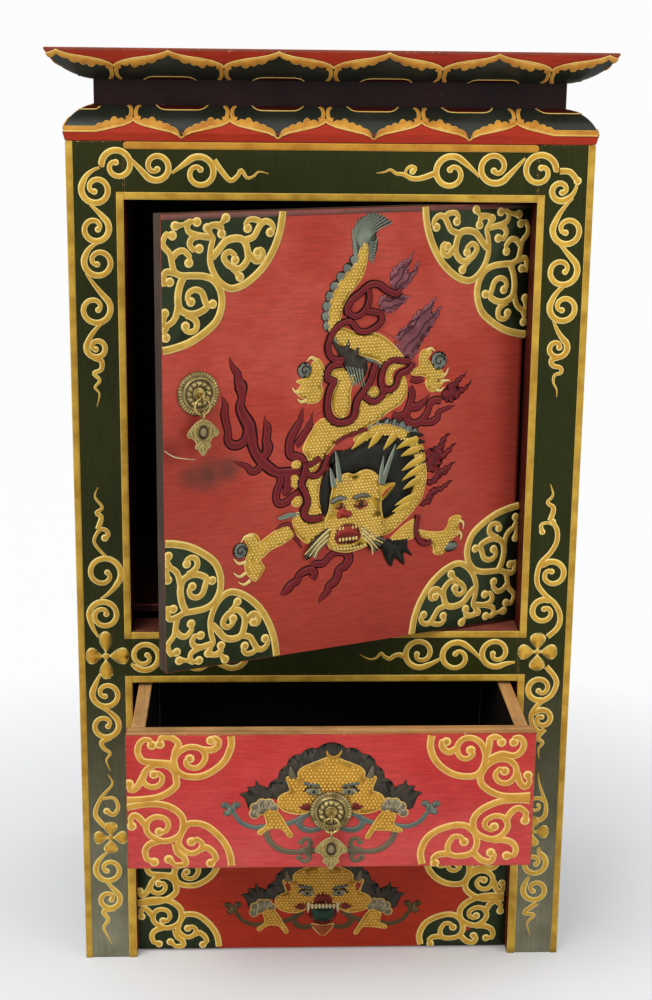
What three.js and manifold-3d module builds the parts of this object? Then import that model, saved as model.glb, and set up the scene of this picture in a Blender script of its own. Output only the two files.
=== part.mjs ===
// A painted wooden cabinet: a post and rail carcass with one hinged door over one drawer,
// a stepped cornice of mitred mouldings, and two cast brass drop pulls.
// Millimetres, +Z up. The front faces -Y and the back faces +Y.
// The door stands ajar and the drawer is drawn out.

import * as THREE from "three";
import { mergeVertices } from "three/addons/utils/BufferGeometryUtils.js";
import Module from "manifold-3d";

const wasm = await Module();
wasm.setup();

// Driving dimensions: the carcass
const bodyWidth = 360;
const bodyDepth = 230;
const bodyHeight = 609;
const frontPostWidth = 38.7;
const frontPostDepth = 33;
const backPostWidth = 30;
const backPostDepth = 30;
const legHeight = 82;
const lowerRailHeight = 38.7;
const drawerOpeningHeight = 101.2;
const middleRailHeight = 38.8;
const topRailHeight = 38.9;
const sideRailThickness = 20;
const backRailThickness = 18;
const backRailSetback = 4;

// Driving dimensions: panels and boards
const panelThickness = 8;
const panelSetback = 4;
const grooveDepth = 7;
const apronThickness = 12;
const apronSetback = 8;
const apronFloorGap = 2;
const floorThickness = 6;
const floorStep = 10.6;
const bearerWidth = 18;
const bearerHeight = 18;
const kickerThickness = 15;

// Driving dimensions: joints of the frame
const fitGap = 0.3;
const frontTenonLength = 20;
const frontTenonThickness = 11;
const frontTenonSetback = 11;
const sideTenonLength = 13;
const tenonShoulder = 5;

// Driving dimensions: the stepped top
const neckSetback = 18.3;
const neckThickness = 12;
const shoulderHeight = 23;
const shoulderBulge = 1.4;
const shoulderBulgeHeight = 5.7;
const shoulderSagitta = 4.1;
const neckHeight = 17.7;
const corniceHeight = 20.3;
const corniceOverhang = 11.4;
const corniceLip = 1.4;
const corniceSagitta = 3.8;
const rabbetWidth = 8;
const topBoardThickness = 10;
const carcassTopThickness = 12;
const arcSteps = 8;

// Driving dimensions: the door
const doorThickness = 12;
const doorStopGap = 0.3;
const doorHingeClearance = 2.2;
const doorFreeClearance = 2.5;
const doorEndClearance = 1.7;
const doorAjarDegrees = 24.4;
const pivotRadius = 2.5;
const pivotClearance = 0.2;
const pivotRailDepth = 15;
const pivotDoorDepth = 10;

// Driving dimensions: the drawer
const drawerEndClearance = 1.5;
const drawerHeightClearance = 1.2;
const drawerSetback = 10;
const drawerLength = 195;
const drawerDrawnOut = 107.6;
const drawerFrontThickness = 15;
const drawerSideThickness = 9.5;
const drawerSideInset = 3;
const drawerSideDrop = 1.5;
const drawerHousingDepth = 6;
const drawerBackDrop = 8;
const drawerBottomThickness = 5;
const drawerBottomHeight = 6;
const drawerGrooveDepth = 4;
const runnerThickness = 12;
const runnerLap = 12;
const guideHeight = 18;
const guideClearance = 1;

// Driving dimensions: the drop pulls
const rosetteRadius = 14.6;
const rosetteHole = 2.1;
const rosettePetals = 12;
const petalBand = [5, 9];
const petalDepth = 0.7;
const rosetteSegments = 72;
const shaftRadius = 1.6;
const shaftClearance = 0.3;
const collarRadius = 3.5;
const collarThickness = 1.2;
const collarSeat = 3;
const eyeReach = 8;
const eyeDrop = 1.4;
const eyeRadius = 2.55;
const eyeWire = 0.8;
const ringRadius = 5.35;
const ringWire = 0.85;
const loopRadius = 2.35;
const loopWire = 0.75;
const linkGap = 0.3;
const clenchLength = 15;
const clenchWidth = 2.6;
const clenchThickness = 1.4;
const pendantThickness = 1.6;
const pendantWidth = 20.2;
const pendantHeight = 24;
const pendantBossRadius = 2.6;
const pendantBossHeight = 7;
const doorPullFromFreeEdge = 24.6;
const doorPullAboveMiddle = 36.8;
const drawerPullBelowMiddle = 6.9;

// Places worked out from the driving dimensions
const halfWidth = bodyWidth / 2;
const openingHalf = halfWidth - frontPostWidth;
const lowerRailTop = legHeight + lowerRailHeight;
const drawerOpeningTop = lowerRailTop + drawerOpeningHeight;
const sillHeight = drawerOpeningTop + middleRailHeight;
const doorOpeningTop = bodyHeight - topRailHeight;
const backPostFront = bodyDepth - backPostDepth;
const backPostInner = halfWidth - backPostWidth;
const panelOuter = halfWidth - panelSetback;
const panelInner = panelOuter - panelThickness;
const sideRailInner = halfWidth - sideRailThickness;
const backPanelBack = bodyDepth - backRailSetback - panelSetback;
const backPanelFront = backPanelBack - panelThickness;
const shoulderTop = bodyHeight + shoulderHeight;
const corniceBottom = shoulderTop + neckHeight;
const overallHeight = corniceBottom + corniceHeight;
const topBoardBottom = overallHeight - topBoardThickness;
const mitreGap = fitGap / Math.SQRT2;

// Finishes
const finish = (color, roughness, metalness = 0) => () =>
  new THREE.MeshStandardMaterial({ color, roughness, metalness });
const greenPaint = finish(0x3d4a33, 0.55);
const redPaint = finish(0x9c2f24, 0.5);
const maroonPaint = finish(0x4a241d, 0.55);
const brownWood = finish(0x5b3a26, 0.7);
const rawWood = finish(0xb98a55, 0.75);
const castBrass = finish(0x9a8450, 0.4, 1);
const ironPin = finish(0x4c4844, 0.5, 1);

// A closed geometry as a solid that can be joined and cut
function toSolid(geometry) {
  const shell = geometry.clone();
  shell.deleteAttribute("normal");
  shell.deleteAttribute("uv");
  const merged = mergeVertices(shell, 1e-4);
  return new wasm.Manifold(
    new wasm.Mesh({
      numProp: 3,
      vertProperties: merged.attributes.position.array,
      triVerts: Uint32Array.from(merged.index.array),
    }),
  );
}

// A solid back as a three.js geometry
function toGeometry(solid) {
  const mesh = solid.getMesh();
  const geometry = new THREE.BufferGeometry();
  geometry.setAttribute("position", new THREE.BufferAttribute(mesh.vertProperties, 3));
  geometry.setIndex(new THREE.BufferAttribute(mesh.triVerts, 1));
  return geometry;
}

// One geometry with others joined on or cut away
const joined = (first, ...others) =>
  toGeometry(others.reduce((solid, other) => solid.add(toSolid(other)), toSolid(first)));
const carved = (first, ...cutters) =>
  toGeometry(cutters.reduce((solid, other) => solid.subtract(toSolid(other)), toSolid(first)));

// A rectangular length of timber between two limits on each axis
function timber([x0, x1], [y0, y1], [z0, z1]) {
  const box = new THREE.BoxGeometry(x1 - x0, y1 - y0, z1 - z0);
  return box.translate((x0 + x1) / 2, (y0 + y1) / 2, (z0 + z1) / 2);
}

// The same limits, wider by a gap on each side that it is asked for
const wider = ([low, high], gap = fitGap) => [low - gap, high + gap];

// Limits on the left or right of the cabinet, from a distance range out from the middle
const outTo = (side, inner, outer) => (side < 0 ? [-outer, -inner] : [inner, outer]);

// A round rod along Z between two heights
function rod(radius, z0, z1, segments = 24) {
  const cylinder = new THREE.CylinderGeometry(radius, radius, z1 - z0, segments);
  return cylinder.rotateX(Math.PI / 2).translate(0, 0, (z0 + z1) / 2);
}

const cabinet = new THREE.Group();
const door = new THREE.Group();
const drawer = new THREE.Group();

function place(parent, name, geometry, material) {
  const mesh = new THREE.Mesh(geometry, material());
  mesh.name = name;
  parent.add(mesh);
  return mesh;
}

// Tenon limits: a front rail's tenon is set back inside the post, a side or back rail's
// tenon lies in line with the panel groove
const frontTenonY = [frontTenonSetback, frontTenonSetback + frontTenonThickness];
const tenonHeight = ([z0, z1]) => [z0 + tenonShoulder, z1 - tenonShoulder];

const frontRails = {
  lower_rail: [legHeight, lowerRailTop],
  middle_rail: [drawerOpeningTop, sillHeight],
  top_rail: [doorOpeningTop, bodyHeight],
};
const outerRails = {
  bottom_rail: [legHeight, lowerRailTop],
  top_rail: [doorOpeningTop, bodyHeight],
};
const panelZ = [lowerRailTop - grooveDepth, doorOpeningTop + grooveDepth];
const panelY = [frontPostDepth - grooveDepth, backPostFront + grooveDepth];
const backPanelX = [-backPostInner - grooveDepth, backPostInner + grooveDepth];

// Front posts, with mortises for the rails and grooves for the side panel and the apron
const apronY = [apronSetback, apronSetback + apronThickness];
const apronTongue = grooveDepth;

function frontPost(side) {
  const outline = timber(
    outTo(side, openingHalf, halfWidth),
    [0, frontPostDepth],
    [0, bodyHeight],
  );
  const frontMortises = Object.values(frontRails).map((heights) =>
    timber(
      outTo(side, openingHalf - 1, openingHalf + frontTenonLength + fitGap),
      wider(frontTenonY),
      wider(tenonHeight(heights)),
    ),
  );
  const sideMortises = Object.values(outerRails).map((heights) =>
    timber(
      outTo(side, panelInner - fitGap, panelOuter + fitGap),
      [frontPostDepth - sideTenonLength - fitGap, frontPostDepth + 1],
      wider(tenonHeight(heights)),
    ),
  );
  const panelGroove = timber(
    outTo(side, panelInner - fitGap, panelOuter + fitGap),
    [frontPostDepth - grooveDepth - fitGap, frontPostDepth + 1],
    wider(panelZ),
  );
  const apronGroove = timber(
    outTo(side, openingHalf - 1, openingHalf + apronTongue + fitGap),
    wider(apronY),
    [apronFloorGap - fitGap, legHeight + fitGap],
  );
  return carved(outline, ...frontMortises, ...sideMortises, panelGroove, apronGroove);
}

// Back posts, with mortises and grooves on the two inner faces
function backPost(side) {
  const outline = timber(
    outTo(side, backPostInner, halfWidth),
    [backPostFront, bodyDepth],
    [0, bodyHeight],
  );
  const cutters = Object.values(outerRails).flatMap((heights) => [
    timber(
      outTo(side, panelInner - fitGap, panelOuter + fitGap),
      [backPostFront - 1, backPostFront + sideTenonLength + fitGap],
      wider(tenonHeight(heights)),
    ),
    timber(
      outTo(side, backPostInner - 1, backPostInner + sideTenonLength + fitGap),
      wider([backPanelFront, backPanelBack]),
      wider(tenonHeight(heights)),
    ),
  ]);
  const sideGroove = timber(
    outTo(side, panelInner - fitGap, panelOuter + fitGap),
    [backPostFront - 1, backPostFront + grooveDepth + fitGap],
    wider(panelZ),
  );
  const backGroove = timber(
    outTo(side, backPostInner - 1, backPostInner + grooveDepth + fitGap),
    wider([backPanelFront, backPanelBack]),
    wider(panelZ),
  );
  return carved(outline, ...cutters, sideGroove, backGroove);
}

for (const [word, side] of [["left", -1], ["right", 1]]) {
  place(cabinet, `front_post_${word}`, frontPost(side), greenPaint);
  place(cabinet, `back_post_${word}`, backPost(side), maroonPaint);
}

// Front rails: a shouldered rail with a tenon at each end
const hingeX = openingHalf - doorHingeClearance - doorThickness / 2;
const hingeY = frontPostDepth - doorStopGap - doorThickness / 2;

function frontRail(heights) {
  const body = timber(wider([-openingHalf, openingHalf], -fitGap), [0, frontPostDepth], heights);
  const tenonReach = openingHalf + frontTenonLength;
  return joined(body, timber([-tenonReach, tenonReach], frontTenonY, tenonHeight(heights)));
}

// Pivot sockets for the door: one up into the top rail, one down into the middle rail
const pivotSocket = (z0, z1) =>
  rod(pivotRadius + pivotClearance, z0, z1).translate(hingeX, hingeY, 0);
const apronSocket = timber(
  [-openingHalf, openingHalf],
  wider(apronY),
  [legHeight - 1, legHeight + apronTongue + fitGap],
);
const railCuts = {
  lower_rail: apronSocket,
  middle_rail: pivotSocket(sillHeight - pivotRailDepth, sillHeight + 1),
  top_rail: pivotSocket(doorOpeningTop - 1, doorOpeningTop + pivotRailDepth),
};
for (const [name, heights] of Object.entries(frontRails)) {
  place(cabinet, `front_${name}`, carved(frontRail(heights), railCuts[name]), greenPaint);
}

// Pivot pins: driven into the rails, and the door turns on what stands out
const pinSpans = {
  pivot_pin_lower: [
    sillHeight - pivotRailDepth + fitGap,
    sillHeight + doorEndClearance + pivotDoorDepth - fitGap,
  ],
  pivot_pin_upper: [
    doorOpeningTop - doorEndClearance - pivotDoorDepth + fitGap,
    doorOpeningTop + pivotRailDepth - fitGap,
  ],
};
for (const [name, span] of Object.entries(pinSpans)) {
  place(cabinet, name, rod(pivotRadius, ...span).translate(hingeX, hingeY, 0), ironPin);
}

// Side rails and panels: the rail's tenons and its groove are in line with the panel
function sideRail(side, heights, grooveFacesUp) {
  const body = timber(
    outTo(side, sideRailInner, halfWidth),
    [frontPostDepth + fitGap, backPostFront - fitGap],
    heights,
  );
  const tenons = timber(
    outTo(side, panelInner, panelOuter),
    [frontPostDepth - sideTenonLength, backPostFront + sideTenonLength],
    tenonHeight(heights),
  );
  const [z0, z1] = heights;
  const groove = timber(
    outTo(side, panelInner - fitGap, panelOuter + fitGap),
    [0, bodyDepth],
    grooveFacesUp ? [z1 - grooveDepth - fitGap, z1 + 1] : [z0 - 1, z0 + grooveDepth + fitGap],
  );
  return carved(joined(body, tenons), groove);
}
for (const [word, side] of [["left", -1], ["right", 1]]) {
  const panel = timber(outTo(side, panelInner, panelOuter), panelY, panelZ);
  place(cabinet, `side_panel_${word}`, panel, redPaint);
  for (const [name, heights] of Object.entries(outerRails)) {
    const rail = sideRail(side, heights, name === "bottom_rail");
    place(cabinet, `side_${name}_${word}`, rail, maroonPaint);
  }
}

// Back rails and panel
function backRail([z0, z1], grooveFacesUp) {
  const body = timber(
    wider([-backPostInner, backPostInner], -fitGap),
    [bodyDepth - backRailSetback - backRailThickness, bodyDepth - backRailSetback],
    [z0, z1],
  );
  const reach = backPostInner + sideTenonLength;
  const tenons = timber([-reach, reach], [backPanelFront, backPanelBack], tenonHeight([z0, z1]));
  const groove = timber(
    [-halfWidth, halfWidth],
    wider([backPanelFront, backPanelBack]),
    grooveFacesUp ? [z1 - grooveDepth - fitGap, z1 + 1] : [z0 - 1, z0 + grooveDepth + fitGap],
  );
  return carved(joined(body, tenons), groove);
}
for (const [name, heights] of Object.entries(outerRails)) {
  place(cabinet, `back_${name}`, backRail(heights, name === "bottom_rail"), brownWood);
}
place(
  cabinet,
  "back_panel",
  timber(backPanelX, [backPanelFront, backPanelBack], panelZ),
  brownWood,
);

// Apron: a fixed panel just clear of the floor, with tongues in the posts and in the rail
const apronReach = openingHalf + apronTongue;
const apronSides = timber([-apronReach, apronReach], apronY, [apronFloorGap, legHeight - fitGap]);
const apronTop = timber(
  wider([-openingHalf, openingHalf], -2 * fitGap),
  apronY,
  [apronFloorGap, legHeight + apronTongue],
);
place(cabinet, "apron_panel", joined(apronSides, apronTop), redPaint);

// Compartment floor: a thin board behind the sill, notched round the back posts.
// It stands above the sill, so its front edge stops the closed door.
const floorTop = sillHeight + floorStep;
const floorBottom = floorTop - floorThickness;
const floorHalf = panelInner - fitGap;
const floorFront = frontPostDepth + fitGap;
const floorBack = backPanelFront - fitGap;
const notchX = backPostInner - fitGap;
const notchY = backPostFront - fitGap;
const floorOutline = new THREE.Shape(
  [
    [-floorHalf, floorFront],
    [floorHalf, floorFront],
    [floorHalf, notchY],
    [notchX, notchY],
    [notchX, floorBack],
    [-notchX, floorBack],
    [-notchX, notchY],
    [-floorHalf, notchY],
  ].map(([x, y]) => new THREE.Vector2(x, y)),
);
const floorBoard = new THREE.ExtrudeGeometry(floorOutline, {
  depth: floorThickness,
  bevelEnabled: false,
}).translate(0, 0, floorBottom);
place(cabinet, "compartment_floor", floorBoard, rawWood);

// Bearers under the floor, kickers over the drawer sides, runners under them and guides
// beside them
const drawerHalf = openingHalf - drawerEndClearance;
const drawerSideOuter = drawerHalf - drawerSideInset;
const drawerSideInner = drawerSideOuter - drawerSideThickness;
const drawerBottomZ = lowerRailTop + drawerHeightClearance;
const betweenPosts = [frontPostDepth + fitGap, backPostFront - fitGap];
const runnerTop = drawerBottomZ - fitGap;
const lapInner = drawerSideOuter - runnerLap;

for (const [word, side] of [["left", -1], ["right", 1]]) {
  const bearer = timber(
    outTo(side, floorHalf - bearerWidth, floorHalf),
    betweenPosts,
    [floorBottom - fitGap - bearerHeight, floorBottom - fitGap],
  );
  place(cabinet, `floor_bearer_${word}`, bearer, rawWood);
  const kicker = timber(
    outTo(side, lapInner, floorHalf),
    betweenPosts,
    [drawerOpeningTop, drawerOpeningTop + kickerThickness],
  );
  place(cabinet, `drawer_kicker_${word}`, kicker, rawWood);
  const runner = timber(
    outTo(side, lapInner, sideRailInner - fitGap),
    betweenPosts,
    [runnerTop - runnerThickness, runnerTop],
  );
  place(cabinet, `drawer_runner_${word}`, runner, rawWood);
  const guide = timber(
    outTo(side, drawerSideOuter + guideClearance, sideRailInner - fitGap),
    betweenPosts,
    [runnerTop + fitGap, runnerTop + guideHeight],
  );
  place(cabinet, `drawer_guide_${word}`, guide, rawWood);
}

// Points along a circular arc from one profile point to another, bulging to the right
// of the way from first to last
function arcBetween([p0, z0], [p1, z1], sagitta) {
  const chord = Math.hypot(p1 - p0, z1 - z0);
  const radius = (chord * chord) / (8 * sagitta) + sagitta / 2;
  const half = Math.asin(chord / 2 / radius);
  const along = [(p1 - p0) / chord, (z1 - z0) / chord];
  const out = [along[1], -along[0]];
  return Array.from({ length: arcSteps + 1 }, (_, i) => {
    const angle = half * ((2 * i) / arcSteps - 1);
    const travel = chord / 2 + radius * Math.sin(angle);
    const bulge = radius * Math.cos(angle) - (radius - sagitta);
    return [p0 + along[0] * travel + out[0] * bulge, z0 + along[1] * travel + out[1] * bulge];
  });
}

// Profiles of the mouldings as [distance out from the body's face, height]
const mouldingBack = fitGap - neckSetback;
const shoulderProfile = [
  [mouldingBack, bodyHeight + fitGap],
  [0, bodyHeight + fitGap],
  ...arcBetween(
    [shoulderBulge, bodyHeight + shoulderBulgeHeight],
    [mouldingBack, shoulderTop],
    shoulderSagitta,
  ),
];
const rabbetFloor = topBoardBottom - fitGap;
const corniceProfile = [
  ...arcBetween(
    [mouldingBack, corniceBottom],
    [corniceOverhang, overallHeight - corniceLip],
    corniceSagitta,
  ),
  [corniceOverhang, overallHeight],
  [mouldingBack + rabbetWidth, overallHeight],
  [mouldingBack + rabbetWidth, rabbetFloor],
  [mouldingBack, rabbetFloor],
];

// A moulding strip: its profile carried between two end cuts, capped at both
function strip(profile, startCut, endCut) {
  const rings = [startCut, endCut].map((cut) => profile.map(([p, z]) => cut(p, z)));
  const count = profile.length;
  const caps = THREE.ShapeUtils.triangulateShape(
    profile.map(([p, z]) => new THREE.Vector2(p, z)),
    [],
  );
  const index = [];
  for (let i = 0; i < count; i++) {
    const next = (i + 1) % count;
    index.push(i, next, i + count, next, next + count, i + count);
  }
  for (const [a, b, c] of caps) {
    index.push(a, c, b, a + count, b + count, c + count);
  }
  const geometry = new THREE.BufferGeometry();
  geometry.setAttribute("position", new THREE.Float32BufferAttribute(rings.flat(2), 3));
  geometry.setIndex(index);
  return geometry;
}

// Three strips round the front and sides, mitred where they meet at the front corners
const mitredStrips = (profile) => ({
  front: strip(
    profile,
    (p, z) => [halfWidth + p - mitreGap, -p, z],
    (p, z) => [-halfWidth - p + mitreGap, -p, z],
  ),
  left: strip(
    profile,
    (p, z) => [-halfWidth - p, -p + mitreGap, z],
    (p, z) => [-halfWidth - p, bodyDepth, z],
  ),
  right: strip(
    profile,
    (p, z) => [halfWidth + p, bodyDepth, z],
    (p, z) => [halfWidth + p, -p + mitreGap, z],
  ),
});
for (const [side, geometry] of Object.entries(mitredStrips(shoulderProfile))) {
  place(cabinet, `shoulder_moulding_${side}`, geometry, redPaint);
}
for (const [side, geometry] of Object.entries(mitredStrips(corniceProfile))) {
  place(cabinet, `cornice_moulding_${side}`, geometry, redPaint);
}

// Carcass top: closes the compartment and carries the neck
const neckHalf = halfWidth - neckSetback;
const carcassTopZ = bodyHeight + fitGap;
place(
  cabinet,
  "carcass_top",
  timber(
    [-neckHalf, neckHalf],
    [neckSetback, bodyDepth],
    [carcassTopZ, carcassTopZ + carcassTopThickness],
  ),
  brownWood,
);

// Neck: four boards on edge between the carcass top and the top board
const neckZ = [carcassTopZ + carcassTopThickness + fitGap, topBoardBottom - fitGap];
const neckFrontY = [neckSetback, neckSetback + neckThickness];
place(cabinet, "neck_front", timber([-neckHalf, neckHalf], neckFrontY, neckZ), maroonPaint);
for (const [word, side] of [["left", -1], ["right", 1]]) {
  const board = timber(
    outTo(side, neckHalf - neckThickness, neckHalf),
    [neckFrontY[1] + fitGap, bodyDepth],
    neckZ,
  );
  place(cabinet, `neck_${word}`, board, maroonPaint);
}
place(
  cabinet,
  "neck_back",
  timber(
    wider([neckThickness - neckHalf, neckHalf - neckThickness], -fitGap),
    [bodyDepth - neckThickness, bodyDepth],
    neckZ,
  ),
  maroonPaint,
);

// Top board: lies in the rabbet of the cornice and on the neck boards
const topBoardHalf = halfWidth + mouldingBack + rabbetWidth - fitGap;
place(
  cabinet,
  "top_board",
  timber(
    [-topBoardHalf, topBoardHalf],
    [halfWidth - topBoardHalf, bodyDepth],
    [topBoardBottom, overallHeight],
  ),
  brownWood,
);

// Rosette of a pull: a cast disc with a rim, a raised ring and a hollow of petals.
// Its profile runs from the shaft hole out over the face and back along the flat rear.
function rosetteGeometry() {
  const face = [
    [rosetteHole, 2.2],
    [4, 2.4],
    [5.4, 3.2],
    [7.2, 4.1],
    [8.8, 3.4],
    [9.6, 2.9],
    [10.5, 3.7],
    [11.4, 2.5],
    [13.2, 2.2],
    [rosetteRadius - 0.4, 1.6],
    [rosetteRadius, 0.9],
    [rosetteRadius, 0],
  ];
  const profile = [[rosetteHole, 0], ...face, [rosetteHole, 0]];
  const points = profile.map(([r, h]) => new THREE.Vector2(r, h)).reverse();
  const disc = new THREE.LatheGeometry(points, rosetteSegments);
  const position = disc.attributes.position;
  for (let i = 0; i < position.count; i++) {
    const x = position.getX(i);
    const z = position.getZ(i);
    const radius = Math.hypot(x, z);
    if (radius < petalBand[0] || radius > petalBand[1]) continue;
    const crest = Math.abs(Math.cos((rosettePetals / 2) * Math.atan2(z, x)));
    position.setY(i, position.getY(i) - petalDepth * (1 - crest));
  }
  return disc.rotateX(Math.PI);
}

// Ring of round wire in the XZ plane, or across it when turned
const wireRing = (radius, wire, segments = 28) =>
  new THREE.TorusGeometry(radius, wire, 10, segments).rotateX(Math.PI / 2);
const crossRing = (radius, wire) =>
  new THREE.TorusGeometry(radius, wire, 10, 20).rotateY(Math.PI / 2);

// A rod along Y, from the board's face outwards where y is negative
const crossRod = (radius, y0, y1, segments = 20) =>
  rod(radius, y0, y1, segments).rotateX(-Math.PI / 2);

// Eye pin: an eye and a collar in front, a shaft through the board, and the two legs
// of the shaft clenched flat against the back of the board
function eyePinGeometry(boardThickness) {
  const shaftBack = boardThickness + fitGap + clenchThickness;
  const collarBack = -collarSeat;
  const shaft = crossRod(shaftRadius, -(eyeReach - eyeRadius), shaftBack);
  const collar = crossRod(collarRadius, collarBack - collarThickness, collarBack);
  const eye = crossRing(eyeRadius, eyeWire).translate(0, -eyeReach, -eyeDrop);
  const clench = timber(
    [-clenchLength / 2, clenchLength / 2],
    [boardThickness + fitGap, shaftBack],
    [-clenchWidth / 2, clenchWidth / 2],
  );
  return joined(shaft, collar, eye, clench);
}

// Where the links hang: the ring in the eye, and the pendant's loop round the ring
const ringPivotDrop = eyeDrop + eyeRadius - eyeWire - ringWire - linkGap;
const ringCentreDrop = ringPivotDrop + ringRadius;
const loopPivotDrop = ringCentreDrop + ringRadius;
const loopCentreDrop = loopPivotDrop + loopRadius - loopWire - ringWire - linkGap;

// Pendant: a lozenge leaf with an oval boss, a flared tip and a loop at its apex.
// Its outline is given on one side, from the apex down, as shares of width and height.
function pendantGeometry() {
  const half = pendantWidth / 2;
  const edge = [
    [0.12, 0],
    [0.6, 0.17],
    [1, 0.34],
    [0.97, 0.41],
    [0.62, 0.53],
    [0.4, 0.64],
    [0.5, 0.78],
    [0.2, 0.88],
    [0.03, 1],
  ];
  const right = edge.map(([x, z]) => [x * half, -z * pendantHeight]);
  const left = right.map(([x, z]) => [-x, z]).reverse();
  const outline = new THREE.Shape([...right, ...left].map(([x, z]) => new THREE.Vector2(x, z)));
  const leaf = new THREE.ExtrudeGeometry(outline, {
    depth: pendantThickness,
    bevelEnabled: false,
  });
  leaf.rotateX(Math.PI / 2).translate(0, pendantThickness / 2, 0);
  const boss = new THREE.SphereGeometry(pendantBossRadius, 16, 10);
  boss.scale(1, 0.75, pendantBossHeight / 2 / pendantBossRadius);
  boss.translate(0, -pendantThickness / 2, -0.35 * pendantHeight);
  const leafTop = loopRadius + loopWire * 0.3;
  const body = joined(leaf, boss).translate(0, 0, -leafTop);
  return joined(crossRing(loopRadius, loopWire), body);
}

// One whole pull: its origin is on the board's face, where the shaft goes through
function addPull(parent, prefix, boardThickness) {
  const pull = new THREE.Group();
  parent.add(pull);
  const rosette = place(pull, `${prefix}_rosette`, rosetteGeometry(), castBrass);
  rosette.position.y = -fitGap;
  place(pull, `${prefix}_eye_pin`, eyePinGeometry(boardThickness), castBrass);
  const ring = place(pull, `${prefix}_ring`, wireRing(ringRadius, ringWire), castBrass);
  ring.position.set(0, -eyeReach, -ringCentreDrop);
  const pendant = place(pull, `${prefix}_pendant`, pendantGeometry(), castBrass);
  pendant.position.set(0, -eyeReach, -loopCentreDrop);
  return pull;
}
const shaftHole = (boardThickness) =>
  crossRod(shaftRadius + shaftClearance, -1, boardThickness + 1);

// Door: one board, rounded on its hinge edge so that it turns clear of the post.
// Its own origin is on the hinge axis at sill height.
const doorWidth = 2 * openingHalf - doorHingeClearance - doorFreeClearance;
const freeEdge = doorThickness / 2 - doorWidth;
const doorZ = [doorEndClearance, doorOpeningTop - sillHeight - doorEndClearance];
const doorHeight = doorZ[1] - doorZ[0];
const doorPullX = freeEdge + doorPullFromFreeEdge;
const doorPullZ = (doorZ[0] + doorZ[1]) / 2 + doorPullAboveMiddle;

const doorPlan = new THREE.Shape();
doorPlan.moveTo(0, doorThickness / 2);
doorPlan.lineTo(freeEdge, doorThickness / 2);
doorPlan.lineTo(freeEdge, -doorThickness / 2);
doorPlan.lineTo(0, -doorThickness / 2);
doorPlan.absarc(0, 0, doorThickness / 2, -Math.PI / 2, Math.PI / 2, false);
const doorBlank = new THREE.ExtrudeGeometry(doorPlan, {
  depth: doorHeight,
  bevelEnabled: false,
  curveSegments: 12,
}).translate(0, 0, doorZ[0]);
const pivotBore = pivotRadius + pivotClearance;
const doorBoard = carved(
  doorBlank,
  rod(pivotBore, doorZ[0] - 1, doorZ[0] + pivotDoorDepth + fitGap),
  rod(pivotBore, doorZ[1] - pivotDoorDepth - fitGap, doorZ[1] + 1),
  shaftHole(doorThickness).translate(doorPullX, -doorThickness / 2, doorPullZ),
);
place(door, "door_board", doorBoard, redPaint);
addPull(door, "door_pull", doorThickness).position.set(doorPullX, -doorThickness / 2, doorPullZ);
door.position.set(hingeX, hingeY, sillHeight);
door.rotation.z = THREE.MathUtils.degToRad(doorAjarDegrees);
cabinet.add(door);

// Drawer: its own origin is at the bottom middle of its face
const drawerHeight = drawerOpeningHeight - 2 * drawerHeightClearance;
const sideHeight = drawerHeight - drawerSideDrop;
const sideStart = drawerFrontThickness - drawerHousingDepth;
const bottomZ = [drawerBottomHeight, drawerBottomHeight + drawerBottomThickness];
const drawerPullZ = drawerHeight / 2 - drawerPullBelowMiddle;
const grooveHalf = drawerSideInner + drawerGrooveDepth;
const bottomGroove = (y0, y1) =>
  timber(wider([-grooveHalf, grooveHalf]), [y0, y1], wider(bottomZ));

const housing = (side) =>
  timber(
    outTo(side, drawerSideInner - fitGap, drawerSideOuter + fitGap),
    [sideStart - fitGap, drawerFrontThickness + 1],
    [-1, sideHeight + fitGap],
  );
const drawerFront = carved(
  timber([-drawerHalf, drawerHalf], [0, drawerFrontThickness], [0, drawerHeight]),
  housing(-1),
  housing(1),
  bottomGroove(drawerFrontThickness - drawerGrooveDepth - fitGap, drawerFrontThickness + 1),
  shaftHole(drawerFrontThickness).translate(0, 0, drawerPullZ),
);
place(drawer, "drawer_front", drawerFront, redPaint);
for (const [word, side] of [["left", -1], ["right", 1]]) {
  const board = timber(
    outTo(side, drawerSideInner, drawerSideOuter),
    [sideStart, drawerLength],
    [0, sideHeight],
  );
  const cut = bottomGroove(0, drawerLength + 1);
  place(drawer, `drawer_side_${word}`, carved(board, cut), rawWood);
}
place(
  drawer,
  "drawer_bottom",
  timber(
    [-grooveHalf, grooveHalf],
    [drawerFrontThickness - drawerGrooveDepth, drawerLength],
    bottomZ,
  ),
  rawWood,
);
place(
  drawer,
  "drawer_back",
  timber(
    wider([-drawerSideInner, drawerSideInner], -fitGap),
    [drawerLength - drawerSideThickness, drawerLength],
    [bottomZ[1] + fitGap, sideHeight - drawerBackDrop],
  ),
  rawWood,
);
addPull(drawer, "drawer_pull", drawerFrontThickness).position.set(0, 0, drawerPullZ);
drawer.position.set(0, drawerSetback - drawerDrawnOut, drawerBottomZ);
cabinet.add(drawer);

// The origin is on the floor, in the middle of the space that the cabinet takes up
const bounds = new THREE.Box3().setFromObject(cabinet);
cabinet.position.y = -(bounds.min.y + bounds.max.y) / 2;

export default cabinet;
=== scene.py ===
import math

import bmesh
import bpy
from mathutils import Matrix, Vector


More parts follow.
